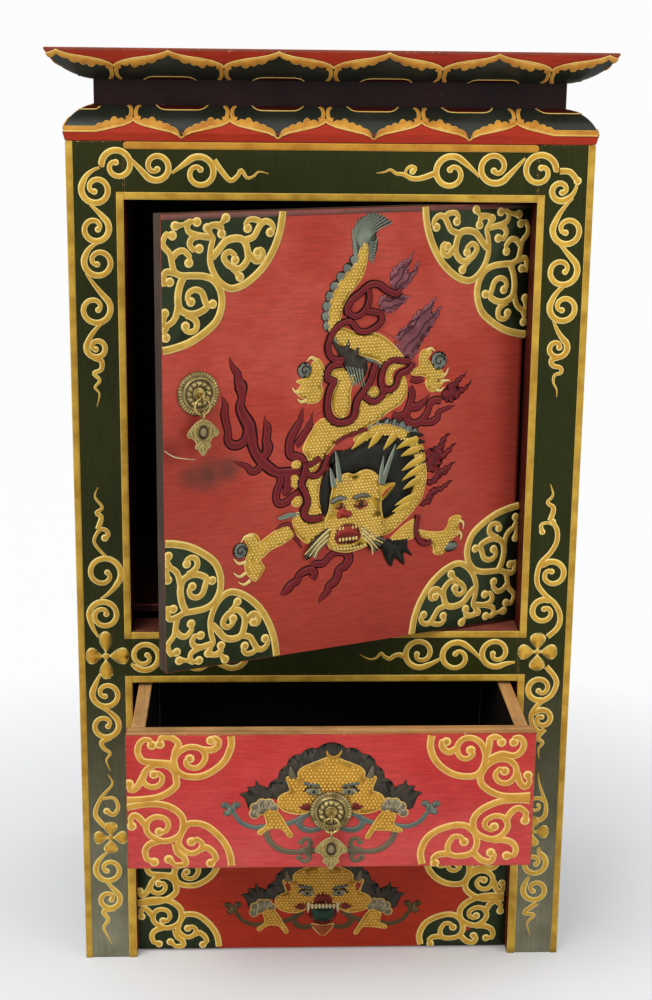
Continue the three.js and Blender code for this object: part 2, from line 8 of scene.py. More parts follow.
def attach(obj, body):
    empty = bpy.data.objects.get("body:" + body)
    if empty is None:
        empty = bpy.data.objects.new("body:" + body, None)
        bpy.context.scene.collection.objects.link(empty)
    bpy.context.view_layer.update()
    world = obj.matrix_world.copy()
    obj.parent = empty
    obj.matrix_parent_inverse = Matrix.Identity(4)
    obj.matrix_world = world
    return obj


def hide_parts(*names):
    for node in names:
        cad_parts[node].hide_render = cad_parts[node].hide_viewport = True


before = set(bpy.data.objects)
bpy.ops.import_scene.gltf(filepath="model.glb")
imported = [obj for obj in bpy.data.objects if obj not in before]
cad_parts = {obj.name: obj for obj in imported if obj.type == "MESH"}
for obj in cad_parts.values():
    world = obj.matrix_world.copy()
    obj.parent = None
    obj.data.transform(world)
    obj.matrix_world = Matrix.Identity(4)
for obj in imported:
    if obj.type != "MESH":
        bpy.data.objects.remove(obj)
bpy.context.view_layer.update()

# The studio: a white sweep of paper under and behind the cabinet, lit by one broad soft lamp high on the
# left, a weaker one on the right and the room itself. The camera stands a little left of the middle,
# level with the top of the cabinet, and looks down at the front.
scene = bpy.context.scene
scene.view_settings.view_transform = "Standard"

photo_width = 652
photo_height = 1000
focal_pixels = 1724
camera_place = Vector((-0.05466, -1.24936, 0.66725))
camera_yaw = -0.044726
camera_pitch = -0.253085
camera_roll = -0.011258

level_right = Vector((math.cos(camera_yaw), math.sin(camera_yaw), 0))
level_ahead = Vector((-math.sin(camera_yaw), math.cos(camera_yaw), 0))
ahead = level_ahead * math.cos(camera_pitch) + Vector((0, 0, math.sin(camera_pitch)))
upward = Vector((0, 0, math.cos(camera_pitch))) - level_ahead * math.sin(camera_pitch)
camera_right = level_right * math.cos(camera_roll) - upward * math.sin(camera_roll)
camera_up = level_right * math.sin(camera_roll) + upward * math.cos(camera_roll)

camera_data = bpy.data.cameras.new("camera")
camera_data.sensor_fit = "AUTO"
camera_data.sensor_width = 36
camera_data.lens = 36 * focal_pixels / max(photo_width, photo_height)
camera = bpy.data.objects.new("camera", camera_data)
camera_turn = Matrix((camera_right, camera_up, -ahead)).transposed()
camera.matrix_world = Matrix.Translation(camera_place) @ camera_turn.to_4x4()
scene.collection.objects.link(camera)
scene.camera = camera


def node(tree, kind, links=None, **settings):
    made = tree.nodes.new(kind)
    for setting, value in settings.items():
        setattr(made, setting, value)
    for socket, source in (links or {}).items():
        if isinstance(source, bpy.types.Node):
            source = source.outputs[0]
        if isinstance(source, bpy.types.NodeSocket):
            tree.links.new(source, made.inputs[socket])
        else:
            made.inputs[socket].default_value = source
    return made


def colour(hex_code):
    parts = [int(hex_code[i:i + 2], 16) / 255 for i in (1, 3, 5)]
    return [p / 12.92 if p <= 0.04045 else ((p + 0.055) / 1.055) ** 2.4 for p in parts] + [1]


def new_material(name):
    material = bpy.data.materials.new(name)
    material.use_nodes = True
    material.node_tree.nodes.clear()
    return material, material.node_tree


# Matt white background paper: it keeps the cabinet's soft shadow and is otherwise as white as the page;
# near the cabinet it glows less, a painted shade round the cabinet's feet
paper, tree = new_material("white_background_paper")
ray = node(tree, "ShaderNodeLightPath")
seen = node(tree, "ShaderNodeMath", {0: ray.outputs["Is Camera Ray"], 1: ray.outputs["Is Glossy Ray"]},
            operation="MAXIMUM")
place = node(tree, "ShaderNodeTexCoord").outputs["Object"]
away = node(tree, "ShaderNodeVectorMath", {0: place}, operation="LENGTH")
# The glow fades near the cabinet: a painted shade that deepens its cast shadow
whiteness = node(tree, "ShaderNodeMapRange", {"Value": away.outputs["Value"], "From Min": 0.14,
                                              "From Max": 0.62, "To Min": 0.12, "To Max": 0.95})
seen = node(tree, "ShaderNodeMath", {0: seen, 1: whiteness}, operation="MULTIPLY")
pulp = node(tree, "ShaderNodeTexNoise", {"Scale": 900.0, "Detail": 2.0})
pulp_bump = node(tree, "ShaderNodeBump", {"Height": pulp, "Strength": 0.05, "Distance": 0.0002})
sheet = node(tree, "ShaderNodeBsdfDiffuse", {"Color": colour("#eef1f4"), "Normal": pulp_bump})
white = node(tree, "ShaderNodeEmission", {"Color": colour("#ffffff"), "Strength": 1.0})
paper_mix = node(tree, "ShaderNodeMixShader", {0: seen, 1: sheet, 2: white})
node(tree, "ShaderNodeOutputMaterial", {"Surface": paper_mix})

sweep = bpy.data.meshes.new("paper_sweep")
sweep_half = 4.0
sweep_front = -3.0
sweep_bend = 2.6
sweep_radius = 1.2
sweep_top = 5.0
sweep_line = [(sweep_front, 0.0), (sweep_bend, 0.0)]
for step in range(1, 13):
    turn = math.pi / 2 * step / 12
    sweep_line.append((sweep_bend + sweep_radius * math.sin(turn), sweep_radius * (1 - math.cos(turn))))
sweep_line.append((sweep_bend + sweep_radius, sweep_top))
sweep.from_pydata(
    [(x, y, z) for y, z in sweep_line for x in (-sweep_half, sweep_half)], [],
    [(2 * i, 2 * i + 1, 2 * i + 3, 2 * i + 2) for i in range(len(sweep_line) - 1)],
)
sweep.polygons.foreach_set("use_smooth", [True] * len(sweep.polygons))
sweep.materials.append(paper)
sweep_object = bpy.data.objects.new("paper_sweep", sweep)
scene.collection.objects.link(sweep_object)

world = bpy.data.worlds.new("white_room")
world.use_nodes = True
tree = world.node_tree
tree.nodes.clear()
ray = node(tree, "ShaderNodeLightPath")
seen = node(tree, "ShaderNodeMath", {0: ray.outputs["Is Camera Ray"], 1: ray.outputs["Is Glossy Ray"]},
            operation="MAXIMUM")
seen = node(tree, "ShaderNodeMath", {0: seen, 1: ray.outputs["Is Transmission Ray"]}, operation="MAXIMUM")
room_strength = node(tree, "ShaderNodeMapRange", {"Value": seen, "To Min": 0.5, "To Max": 1.0})
room = node(tree, "ShaderNodeBackground", {"Color": colour("#fdfdff"), "Strength": room_strength})
node(tree, "ShaderNodeOutputWorld", {"Surface": room})
scene.world = world

lamps = {
    "soft_lamp_left": ((-1.3, -1.7, 2.1), (0, 0, 0.35), 1.5, 44),
    "soft_lamp_right": ((1.6, -1.5, 1.3), (0, 0, 0.3), 1.3, 16),
}
for lamp_name, (stand, aim, width, watts) in lamps.items():
    lamp_data = bpy.data.lights.new(lamp_name, "AREA")
    lamp_data.shape = "SQUARE"
    lamp_data.size = width
    lamp_data.energy = watts
    lamp = bpy.data.objects.new(lamp_name, lamp_data)
    lamp.location = stand
    lamp.rotation_euler = (Vector(aim) - Vector(stand)).to_track_quat("-Z", "Y").to_euler()
    scene.collection.objects.link(lamp)

# The front frame: two posts, which are also the legs, and three rails tenoned between them. They are
# softwood under a coat of dark green distemper, rubbed with oil to a low gloss. Their corners are eased
# by hand, and the paint has rubbed through to the ochre ground there.


def covered(tree, tone, *coats):
    # Lays coats of colour over a tone, each with where it lies, from 0 to 1
    for where, coat in coats:
        mixed = node(tree, "ShaderNodeMix", {"Factor": where, 6: tone, 7: colour(coat)}, data_type="RGBA")
        tone = mixed.outputs[2]
    return tone


def surfaced(tree, relief, strength, depth, settings):
    # Closes a material: its fine relief, depth in metres, and the settings of its surface
    bump = node(tree, "ShaderNodeBump", {"Height": relief, "Strength": strength, "Distance": depth})
    surface = node(tree, "ShaderNodeBsdfPrincipled", {"Normal": bump, **settings})
    node(tree, "ShaderNodeOutputMaterial", {"Surface": surface})


def paint(name, coat, shade, ground, gloss=0.42, stroke=(1.0, 1.0, 0.1), mottle=0.5, chips=0.0, low_tint=None,
          dark_patches=(), sheen=0.1):
    # Brushed distemper: long faint strokes about 1.5 mm wide, cloudy patches some 40 mm across where the
    # coat is thinner, and now and then a chip about 1 mm wide that shows the ground
    material, tree = new_material(name)
    place = node(tree, "ShaderNodeTexCoord").outputs["Object"]
    along = node(tree, "ShaderNodeMapping", {"Vector": place, "Scale": stroke})
    strokes = node(tree, "ShaderNodeTexNoise", {"Vector": along, "Scale": 650.0, "Detail": 3.0})
    clouds = node(tree, "ShaderNodeTexNoise",
                  {"Vector": place, "Scale": 24.0, "Detail": 5.0, "Roughness": 0.6})
    cloud_level = node(tree, "ShaderNodeMapRange", {"Value": clouds, "From Min": 0.35, "From Max": 0.65,
                                                    "To Max": mottle})
    coats = [(cloud_level, shade)]
    # A tint that grows towards the bottom: on the green posts it is a painted reflection of the pale room
    if low_tint:
        low, high, low_tint_colour, most = low_tint
        height = node(tree, "ShaderNodeSeparateXYZ", {"Vector": place})
        low_tint_share = node(tree, "ShaderNodeMapRange", {"Value": height.outputs["Z"], "From Min": high,
                                                   "From Max": low, "To Max": most})
        low_tint_share = node(tree, "ShaderNodeMath", {0: low_tint_share, 1: clouds}, operation="MULTIPLY")
        coats.append((low_tint_share, low_tint_colour))
    # Dark patches round given points; on the door the one at the hinge side is a painted shadow of the frame
    for middle, reach, patch_colour, most in dark_patches:
        gap = node(tree, "ShaderNodeVectorMath", {0: place, 1: middle}, operation="DISTANCE")
        patched = node(tree, "ShaderNodeMapRange", {"Value": gap.outputs["Value"], "From Min": reach,
                                                    "From Max": reach * 0.2, "To Max": most})
        patched = node(tree, "ShaderNodeMath", {0: patched, 1: clouds}, operation="MULTIPLY")
        coats.append((patched, patch_colour))
    tone = covered(tree, colour(coat), *coats)
    stroke_level = node(tree, "ShaderNodeMapRange", {"Value": strokes, "From Min": 0.3, "From Max": 0.7,
                                                     "To Min": 0.86, "To Max": 1.12})
    tone = node(tree, "ShaderNodeVectorMath", {0: tone, "Scale": stroke_level}, operation="SCALE")
    spots = node(tree, "ShaderNodeTexNoise", {"Vector": place, "Scale": 420.0, "Detail": 4.0,
                                              "Roughness": 0.7})
    chipped = node(tree, "ShaderNodeMapRange", {"Value": spots, "From Min": 0.74 - chips,
                                                "From Max": 0.78 - chips})
    tone = covered(tree, tone.outputs[0], (chipped, ground))
    dull = node(tree, "ShaderNodeMapRange", {"Value": clouds, "From Min": 0.3, "From Max": 0.7,
                                             "To Min": gloss - 0.06, "To Max": gloss + 0.1})
    relief = node(tree, "ShaderNodeMath", {0: strokes, 1: chipped}, operation="SUBTRACT")
    surfaced(tree, relief, 0.25, 0.0002, {"Base Color": tone, "Roughness": dull, "IOR": 1.48,
                                          "Specular IOR Level": sheen})
    return material


def show(name, mesh, body, slot, *replaced):
    piece = bpy.data.objects.new(name, mesh)
    scene.collection.objects.link(piece)
    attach(piece, body)
    for node_name in replaced:
        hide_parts(node_name)


def board(node_name, coat, edge, body, slot, ease=0.7, others=()):
    # The sawn board with its sharp long corners, those of over 0.6 radians and 15 mm, eased by ease mm in
    # its worn edge finish; others gives the ways that a face with a finish of its own looks, and that finish
    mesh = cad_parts[node_name].data.copy()
    shape = bmesh.new()
    shape.from_mesh(mesh)
    bmesh.ops.remove_doubles(shape, verts=shape.verts, dist=0.00001)
    bmesh.ops.dissolve_limit(shape, angle_limit=0.01, verts=shape.verts, edges=shape.edges)
    corners = [e for e in shape.edges if len(e.link_faces) == 2 and e.calc_face_angle() > 0.6
               and e.calc_length() > 0.015]
    for face in shape.faces:
        face.material_index = 0
        face.smooth = False
    if ease:
        bmesh.ops.bevel(shape, geom=corners, offset=ease / 1000, segments=2, profile=0.5, affect="EDGES",
                        clamp_overlap=True, material=1)
    shape.normal_update()
    mesh.materials.clear()
    mesh.materials.append(coat)
    mesh.materials.append(edge)
    for way, finish in others:
        mesh.materials.append(finish)
        for face in shape.faces:
            if face.normal.dot(Vector(way)) > 0.95:
                face.material_index = len(mesh.materials) - 1
    shape.to_mesh(mesh)
    shape.free()
    show(node_name + "_board", mesh, body, slot, node_name)


# Green distemper, nearly black with age and greyer towards the feet, the grey a painted reflection of the
# pale room in its gloss; it shows its ground along the rubbed corners; the faces inside the openings have
# only a thin red wash
green_coat = paint("green_distemper", "#2b2e0e", "#1c2009", "#7d7045", 0.34,
                   low_tint=(0.05, 0.23, "#7f7d66", 1.5))
green_edge = paint("green_distemper_worn", "#33331a", "#5d4f2c", "#a58a4c", 0.5, mottle=0.8, chips=0.14)
reveal_coat = paint("red_wash_in_the_openings", "#5a1f14", "#3d1510", "#7d5a45", 0.5, mottle=0.9, chips=0.03)
sill_coat = paint("red_wash_on_sill", "#8e4a3b", "#5b352b", "#a8806a", 0.6, (0.1, 1, 1), 0.9, 0.06)
for node_name, others in {
    "front_post_left": [((1, 0, 0), reveal_coat)],
    "front_post_right": [((-1, 0, 0), reveal_coat)],
    "front_lower_rail": [],
    "front_middle_rail": [((0, 0, 1), sill_coat), ((0, 0, -1), reveal_coat)],
    "front_top_rail": [((0, 0, -1), reveal_coat)],
}.items():
    board(node_name, green_coat, green_edge, "carcass", "green_paint", 0.7, others)

# Raised gold lines on the front frame: chalk gesso trailed on through a cone in scrolls and strips, then
# painted ochre with a pale yellow line along each side. They stand about 1 mm proud of the green paint.


def geometry_tree(name, **inputs):
    tree = bpy.data.node_groups.new(name, "GeometryNodeTree")
    tree.interface.new_socket("Geometry", in_out="INPUT", socket_type="NodeSocketGeometry")
    for label, kind in inputs.items():
        tree.interface.new_socket(label, in_out="INPUT", socket_type="NodeSocket" + kind)
    tree.interface.new_socket("Geometry", in_out="OUTPUT", socket_type="NodeSocketGeometry")
    return tree, tree.nodes.new("NodeGroupInput"), tree.nodes.new("NodeGroupOutput")


line_tree, given, result = geometry_tree("trailed_line", Step="Float", Height="Float", Knob="Float",
                                         Finish="Material")
smooth = node(line_tree, "GeometryNodeCurveSplineType", {"Curve": given}, spline_type="CATMULL_ROM")
spaced = node(line_tree, "GeometryNodeResampleCurve", {"Curve": smooth, "Length": given.outputs["Step"]},
              mode="LENGTH")
flat = node(line_tree, "GeometryNodeSetCurveNormal", {"Curve": spaced}, mode="Z_UP")
half_width = node(line_tree, "GeometryNodeInputRadius")
arch_height = node(line_tree, "ShaderNodeMath", {0: given.outputs["Height"], 1: -1.0}, operation="MULTIPLY")
arch_top = node(line_tree, "ShaderNodeCombineXYZ", {"Y": arch_height})
arch = node(line_tree, "GeometryNodeCurveQuadraticBezier",
            {"Resolution": 6, "Start": (-1.0, 0.0, 0.0), "Middle": arch_top, "End": (1.0, 0.0, 0.0)})
arch_place = node(line_tree, "ShaderNodeSeparateXYZ",
                  {"Vector": node(line_tree, "GeometryNodeInputPosition")})
arch = node(line_tree, "GeometryNodeStoreNamedAttribute",
            {"Geometry": arch, "Name": "across", "Value": arch_place}, data_type="FLOAT")
arch = node(line_tree, "GeometryNodeSetSplineCyclic", {"Geometry": arch, "Cyclic": True})
trail = node(line_tree, "GeometryNodeCurveToMesh",
             {"Curve": flat, "Profile Curve": arch, "Scale": half_width, "Fill Caps": True})
knob = node(line_tree, "GeometryNodeMeshUVSphere", {"Segments": 10, "Rings": 6, "Radius": 1.0})
knob_place = node(line_tree, "GeometryNodeInputPosition")
knob_flat = node(line_tree, "ShaderNodeVectorMath", {0: knob_place, 1: (1.0, 1.0, 0.0)}, operation="MULTIPLY")
knob_across = node(line_tree, "ShaderNodeVectorMath", {0: knob_flat}, operation="LENGTH")
knob = node(line_tree, "GeometryNodeStoreNamedAttribute",
            {"Geometry": knob, "Name": "across", "Value": knob_across.outputs["Value"]},
            data_type="FLOAT")
tip = node(line_tree, "GeometryNodeCurveEndpointSelection", {"Start Size": 0, "End Size": 1})
knob_size = node(line_tree, "ShaderNodeMath", {0: half_width, 1: given.outputs["Knob"]}, operation="MULTIPLY")
knob_scale = node(line_tree, "ShaderNodeVectorMath", {0: (1.0, 1.0, 0.25), "Scale": knob_size},
                  operation="SCALE")
knobs = node(line_tree, "GeometryNodeInstanceOnPoints",
             {"Points": flat, "Selection": tip, "Instance": knob, "Scale": knob_scale})
knobs = node(line_tree, "GeometryNodeRealizeInstances", {"Geometry": knobs})
both = node(line_tree, "GeometryNodeJoinGeometry", {"Geometry": trail})
line_tree.links.new(knobs.outputs[0], both.inputs[0])
both = node(line_tree, "GeometryNodeSetMaterial", {"Geometry": both, "Material": given.outputs["Finish"]})
line_tree.links.new(both.outputs[0], result.inputs[0])


def drawn(tree, strokes, closed, lift, **settings):
    # Runs a tree on flat strokes in mm, each a list of (across, up, half width), and returns the mesh,
    # which stands lift mm off the surface
    curve = bpy.data.curves.new("strokes", "CURVE")
    curve.dimensions = "3D"
    for stroke in strokes:
        spline = curve.splines.new("POLY")
        spline.points.add(len(stroke) - 1)
        spline.use_cyclic_u = closed
        for point, (u, v, half) in zip(spline.points, stroke):
            point.co = (u, v, 0, 1)
            point.radius = half
    return raised(worked(tree, bpy.data.objects.new("strokes", curve), **settings), lift)


def worked(tree, pencil, **settings):
    # Runs a tree on an object and returns its result as a plain mesh
    scene.collection.objects.link(pencil)
    modifier = pencil.modifiers.new("work", "NODES")
    modifier.node_group = tree
    for item in tree.interface.items_tree:
        if item.in_out == "INPUT" and item.name in settings:
            modifier[item.identifier] = settings[item.name]
    ready = pencil.evaluated_get(bpy.context.evaluated_depsgraph_get())
    mesh = bpy.data.meshes.new_from_object(ready, preserve_all_data_layers=True,
                                           depsgraph=bpy.context.evaluated_depsgraph_get())
    old = pencil.data
    bpy.data.objects.remove(pencil)
    if isinstance(old, bpy.types.Curve):
        bpy.data.curves.remove(old)
    return mesh


def raised(mesh, lift):
    for vertex in mesh.vertices:
        vertex.co.z += lift
    return mesh


def lines(strokes, finish, height=0.6, knob=0.0, lift=0.0, step=1.2, closed=False):
    return drawn(line_tree, strokes, closed, lift, Step=step, Height=height, Knob=knob, Finish=finish)


def joined(meshes):
    # Several meshes as one, with their materials
    whole = bmesh.new()
    materials = []
    for mesh in meshes:
        slots = []
        for material in mesh.materials:
            if material not in materials:
                materials.append(material)
            slots.append(materials.index(material))
        count = len(whole.faces)
        whole.from_mesh(mesh)
        whole.faces.ensure_lookup_table()
        for face in whole.faces[count:]:
            face.material_index = slots[face.material_index] if slots else 0
        bpy.data.meshes.remove(mesh)
    mesh = bpy.data.meshes.new("joined")
    whole.to_mesh(mesh)
    whole.free()
    for material in materials:
        mesh.materials.append(material)
    return mesh


def laid(mesh, place, lift=0.0):
    # Lays a flat mesh in mm on a surface: place(across, up, out) gives the point in metres
    for vertex in mesh.vertices:
        vertex.co = place(vertex.co.x, vertex.co.y, vertex.co.z + lift)
    mesh.polygons.foreach_set("use_smooth", [True] * len(mesh.polygons))
    mesh.update()
    return mesh


# Ochre distemper on gesso: an ochre middle and pale yellow sides with a thin brown shadow line outside,
# the colour uneven because it is laid on by hand with a fine brush
def gilt(name, middle, rim, deep, rim_from=0.52, outline="#2a1c0a", outline_from=0.93, outline_level=0.8):
    material, tree = new_material(name)
    place = node(tree, "ShaderNodeTexCoord").outputs["Object"]
    across = node(tree, "ShaderNodeAttribute", attribute_name="across")
    wobble = node(tree, "ShaderNodeTexNoise", {"Vector": place, "Scale": 260.0, "Detail": 3.0})
    wobbly = node(tree, "ShaderNodeMapRange", {"Value": wobble, "To Min": -0.12, "To Max": 0.12})
    side = node(tree, "ShaderNodeMath", {0: across.outputs["Fac"]}, operation="ABSOLUTE")
    side = node(tree, "ShaderNodeMath", {0: side, 1: wobbly}, operation="ADD")
    patches = node(tree, "ShaderNodeTexNoise", {"Vector": place, "Scale": 90.0, "Detail": 4.0})
    patch_level = node(tree, "ShaderNodeMapRange", {"Value": patches, "From Min": 0.35, "From Max": 0.65})
    on_rim = node(tree, "ShaderNodeMapRange", {"Value": side, "From Min": rim_from,
                                               "From Max": rim_from + 0.14})
    on_edge = node(tree, "ShaderNodeMapRange", {"Value": side, "From Min": outline_from,
                                                "From Max": outline_from + 0.12,
                                                "To Max": outline_level})
    tone = covered(tree, colour(middle), (patch_level, deep), (on_rim, rim), (on_edge, outline))
    surfaced(tree, wobble, 0.4, 0.0003, {"Base Color": tone, "Roughness": 0.45, "IOR": 1.48,
                                         "Specular IOR Level": 0.15})
    return material


gold = gilt("ochre_distemper_on_gesso", "#cfa33a", "#ecd88a", "#b8872a")
body_front = 60.525


def on_front(u, v, out):
    return Vector((u, -body_front - out, v)) / 1000


def hook(start, centre, radius, entry, sweep, wide=2.75):
    # A scroll: a stem from start that meets a spiral round centre, which winds in and ends in a knob
    stroke = []
    spiral = []
    turns = 26
    for i in range(turns + 1):
        t = i / turns
        reach = radius * (1 - 0.8 * t ** 2.1)
        angle = math.radians(entry + sweep * t)
        spiral.append((centre[0] + reach * math.cos(angle), centre[1] + reach * math.sin(angle)))
    (x0, y0), (x1, y1) = spiral[:2]
    step = math.hypot(x1 - x0, y1 - y0)
    reach = 0.5 * math.hypot(x0 - start[0], y0 - start[1])
    bend = (x0 - (x1 - x0) / step * reach, y0 - (y1 - y0) / step * reach)
    stem = [tuple((1 - t) ** 2 * a + 2 * t * (1 - t) * b + t * t * c
                  for a, b, c in zip(start, bend, (x0, y0)))
            for t in (0, 0.2, 0.4, 0.6, 0.8)]
    path = stem + spiral
    for i, (u, v) in enumerate(path):
        t = i / (len(path) - 1)
        swell = min(1, 0.35 + 3.6 * t)
        stroke.append((u, v, wide * swell * (1 - 0.34 * t)))
    return stroke


def flourish(points, wide=2.3, fine=0.45, knob=False):
    # A free stroke through the points: full width at the start unless it is a knobbed one, fine at the end
    count = len(points) - 1
    stroke = []
    for i, (u, v) in enumerate(points):
        t = i / count
        half = wide * (0.55 + 0.45 * t) if knob else wide + (fine - wide) * t ** 1.3
        stroke.append((u, v, half))
    return stroke


left_scrolls = [
    hook((-156.5, 592), (-145.5, 593), 10.3, 180, -430),
    hook((-138.5, 600), (-119, 592.2), 9.1, 215, 440),
    hook((-108.5, 588), (-90, 588.7), 10.5, 135, -430),
    flourish([(-80, 597), (-75, 590), (-69, 583.5), (-64, 586.5), (-61.5, 590.5), (-57.5, 585.3),
              (-53, 586.5), (-49.5, 589.5), (-43.5, 588.3)]),
    hook((-157, 591.5), (-160, 577), 9.7, 150, 450),
    hook((-164, 566.5), (-160.8, 550.5), 9.3, 50, -430),
    hook((-157, 541.5), (-159.2, 527.8), 9.8, 150, 450),
    hook((-168, 520), (-161.9, 495.5), 10.4, 50, -430),
    hook((-155, 487.5), (-161.7, 468.5), 7, 150, 450),
    flourish([(-164, 461.5), (-158.5, 459), (-159, 453), (-164, 450.5), (-160, 445.5), (-163.5, 440.5),
              (-160.5, 436), (-162.3, 427.5)]),
    hook((-165, 257), (-161, 273.7), 10.3, 200, -540),
    hook((-163, 286), (-160, 305), 12, -40, 420),
    flourish([(-158, 317), (-166.5, 328), (-163, 337), (-158.5, 337.5), (-156.5, 334), (-159, 331.5)], 2.2,
             knob=True),
    flourish([(-163.7, 338), (-161.2, 346.7), (-164.5, 350), (-160.3, 354), (-165.3, 361.7),
              (-163.3, 368.3)]),
    hook((-142, 236.5), (-132, 242), 10.5, 230, 520),
    hook((-114, 238), (-95.5, 241), 11, 135, -430),
    hook((-86.3, 241.3), (-68.5, 243.5), 10.8, 240, 470),
    hook((-164, 229.5), (-160.5, 213), 10, 150, 450),
    hook((-167, 203.5), (-161.5, 188.5), 9.8, 50, -430),
    flourish([(-158, 179), (-164.5, 175.5), (-163, 170.5), (-158.5, 166.5), (-161.5, 161), (-159, 153.3)]),
    flourish([(-164, 108.5), (-170.5, 118), (-166, 131), (-157.5, 142), (-160.3, 149.2)]),
    flourish([(-166, 130), (-157, 131), (-153.5, 124), (-157, 117.5), (-162, 120.5)], 2.2, knob=True),
    hook((-162, 87), (-161.5, 73), 9.6, 150, 430),
    hook((-165, 65), (-161.5, 48.5), 8, 50, -430),
    flourish([(-157, 40.8), (-166.2, 38.3), (-162.8, 31.7), (-166.2, 25), (-163.7, 18.3), (-160.7, 11.7)]),
]
right_scrolls = [
    hook((155.5, 592), (142.5, 591.5), 11, 5, 430),
    hook((132, 600), (111.5, 593.3), 10.4, -35, -440),
    hook((101, 587), (81.5, 589.9), 11, 45, 430),
    flourish([(72, 590), (62, 586.3), (55, 585.7), (49, 588.5), (44, 589), (40, 591.5), (36, 590),
              (31, 589.3)]),
    flourish([(50, 588.5), (51, 592), (54, 594), (57, 592.5), (55, 590.5)], 1.8, knob=True),
    flourish([(156, 591.5), (163, 591), (168.5, 585)], 2.4, 2.3),
    hook((168.5, 585), (157.5, 578.2), 6.8, -60, -360),
    hook((166, 573.5), (162.8, 551.5), 10, 150, 450),
    hook((156, 544), (160.7, 523.6), 10.5, 50, -430),
    hook((168, 516), (162.6, 497.8), 9.6, 150, 450),
    hook((156, 489), (159.6, 469.6), 7.1, 50, -400),
    flourish([(161, 463), (156, 461), (157, 457), (162.5, 455.5), (163, 452), (158.5, 450), (158, 445),
              (160.5, 440), (160.8, 435)]),
    hook((138.8, 236.3), (124.3, 243.5), 10.5, -60, -470),
    hook((114, 238), (95.5, 241), 11, 45, 430),
    hook((86.3, 241.3), (68.5, 243.5), 10.8, -60, -470),
    flourish([(58, 240.8), (53.8, 242.5), (50, 241.9), (46.3, 239.4), (42.5, 241.3), (40, 243.8), (36.3, 240),
              (31.3, 239.4), (25, 242.5)]),
    flourish([(162, 256), (169, 263), (170.5, 272), (166.5, 281), (158, 289), (152.5, 298), (154, 311),
              (161.3, 320), (165.5, 328.3), (165.5, 336.7), (162, 343.3)], 2.3, 2.0),
    hook((166, 282), (158.5, 275.5), 9, 70, 380),
    hook((154, 309), (163, 304), 9.5, 135, -400),
    flourish([(162, 341), (158, 342.5), (153.8, 340.8), (154.7, 335.8)], 1.9, knob=True),
    flourish([(160, 344), (162.2, 353.3), (157.7, 357.5), (161.3, 363.3), (159.3, 370.8)]),
    flourish([(162, 233), (170, 222), (167, 211), (158, 204), (152.5, 195), (154.5, 186), (160, 181)], 2.3,
             2.0),
    hook((164, 207), (158, 215.5), 9, -80, -400),
    hook((158, 204), (160.5, 192), 7, 140, -400),
    flourish([(163, 184), (158, 176.7), (162, 173), (159, 168), (159.7, 160.8)]),
    flourish([(161.3, 110), (166, 114), (166.5, 123), (163, 133.3), (160.5, 141.7), (159.7, 148.3)]),
    hook((164, 131), (159.5, 122.5), 6, 40, 340, 1.9),
    hook((163, 88.3), (159.5, 75), 9, 60, -450),
    hook((156, 64), (161, 53), 9, 150, 430),
    flourish([(163, 41.7), (153.8, 34), (161.3, 31.7), (156.3, 25), (158.8, 15)]),
]
scrolls = lines(left_scrolls + right_scrolls, gold, 0.62, 1.3, step=1.1)
show("front_scrolls", laid(scrolls, on_front, -0.1), "carcass", "gold_relief")


# Painted strips along the edges of the frame and round its openings, about 5 mm wide and nearly flat: the
# sides, bottom and top of each in mm on the front
strips = [
    (-180, -175, 0, 609), (175, 180, 0, 609),
    (-146.5, -141.3, 255.5, 575.3), (141.3, 146.5, 255.5, 575.3),
    (-141.3, 141.3, 570.1, 575.3), (-141.3, 141.3, 255.5, 260.7),
    (-146.5, -141.3, 115.5, 227.1), (141.3, 146.5, 115.5, 227.1),
    (-141.3, 141.3, 221.9, 227.1), (-141.3, 141.3, 115.5, 120.7), (-141.3, 141.3, 82, 87),
    (-147.5, -141.3, 0, 87), (141.3, 147.5, 0, 87),
]
top_bar = (-141, 141, 603.8, 608.9)


def closed_mesh(shape, finish):
    bmesh.ops.recalc_face_normals(shape, faces=shape.faces)
    mesh = bpy.data.meshes.new("closed")
    shape.to_mesh(mesh)
    shape.free()
    mesh.materials.append(finish)
    return mesh


def strip_mesh(places, finish, high=0.5, round_ends=False):
    # Flat strips with eased edges; the attribute across runs from -1 to 1 over the width
    shape = bmesh.new()
    layer = shape.verts.layers.float.new("across")
    section = ((-1, -0.1), (-0.92, high * 0.75), (-0.5, high), (0.5, high), (0.92, high * 0.75), (1, -0.1))
    for x0, x1, z0, z1 in places:
        upright = (z1 - z0) > (x1 - x0)
        a0, a1 = (z0, z1) if upright else (x0, x1)
        b0, b1 = (x0, x1) if upright else (z0, z1)
        half = (b1 - b0) / 2
        steps = max(2, int((a1 - a0) / 6))
        stops = [(a0 + (a1 - a0) * i / steps, 1.0) for i in range(steps + 1)]
        if round_ends:
            stops = ([(a0, 0.45), (a0 + 0.8, 0.8), (a0 + 2.4, 1.0)] + stops[1:-1]
                     + [(a1 - 2.4, 1.0), (a1 - 0.8, 0.8), (a1, 0.45)])
        rings = []
        for a, narrow in stops:
            ring = []
            for t, h in section:
                b = (b0 + b1) / 2 + half * t * narrow
                vertex = shape.verts.new((b, a, h) if upright else (a, b, h))
                vertex[layer] = t
                ring.append(vertex)
            rings.append(ring)
        for r0, r1 in zip(rings, rings[1:]):
            for i in range(len(section)):
                j = (i + 1) % len(section)
                shape.faces.new((r0[i], r0[j], r1[j], r1[i]))
        shape.faces.new(rings[0])
        shape.faces.new(rings[-1])
    return closed_mesh(shape, finish)


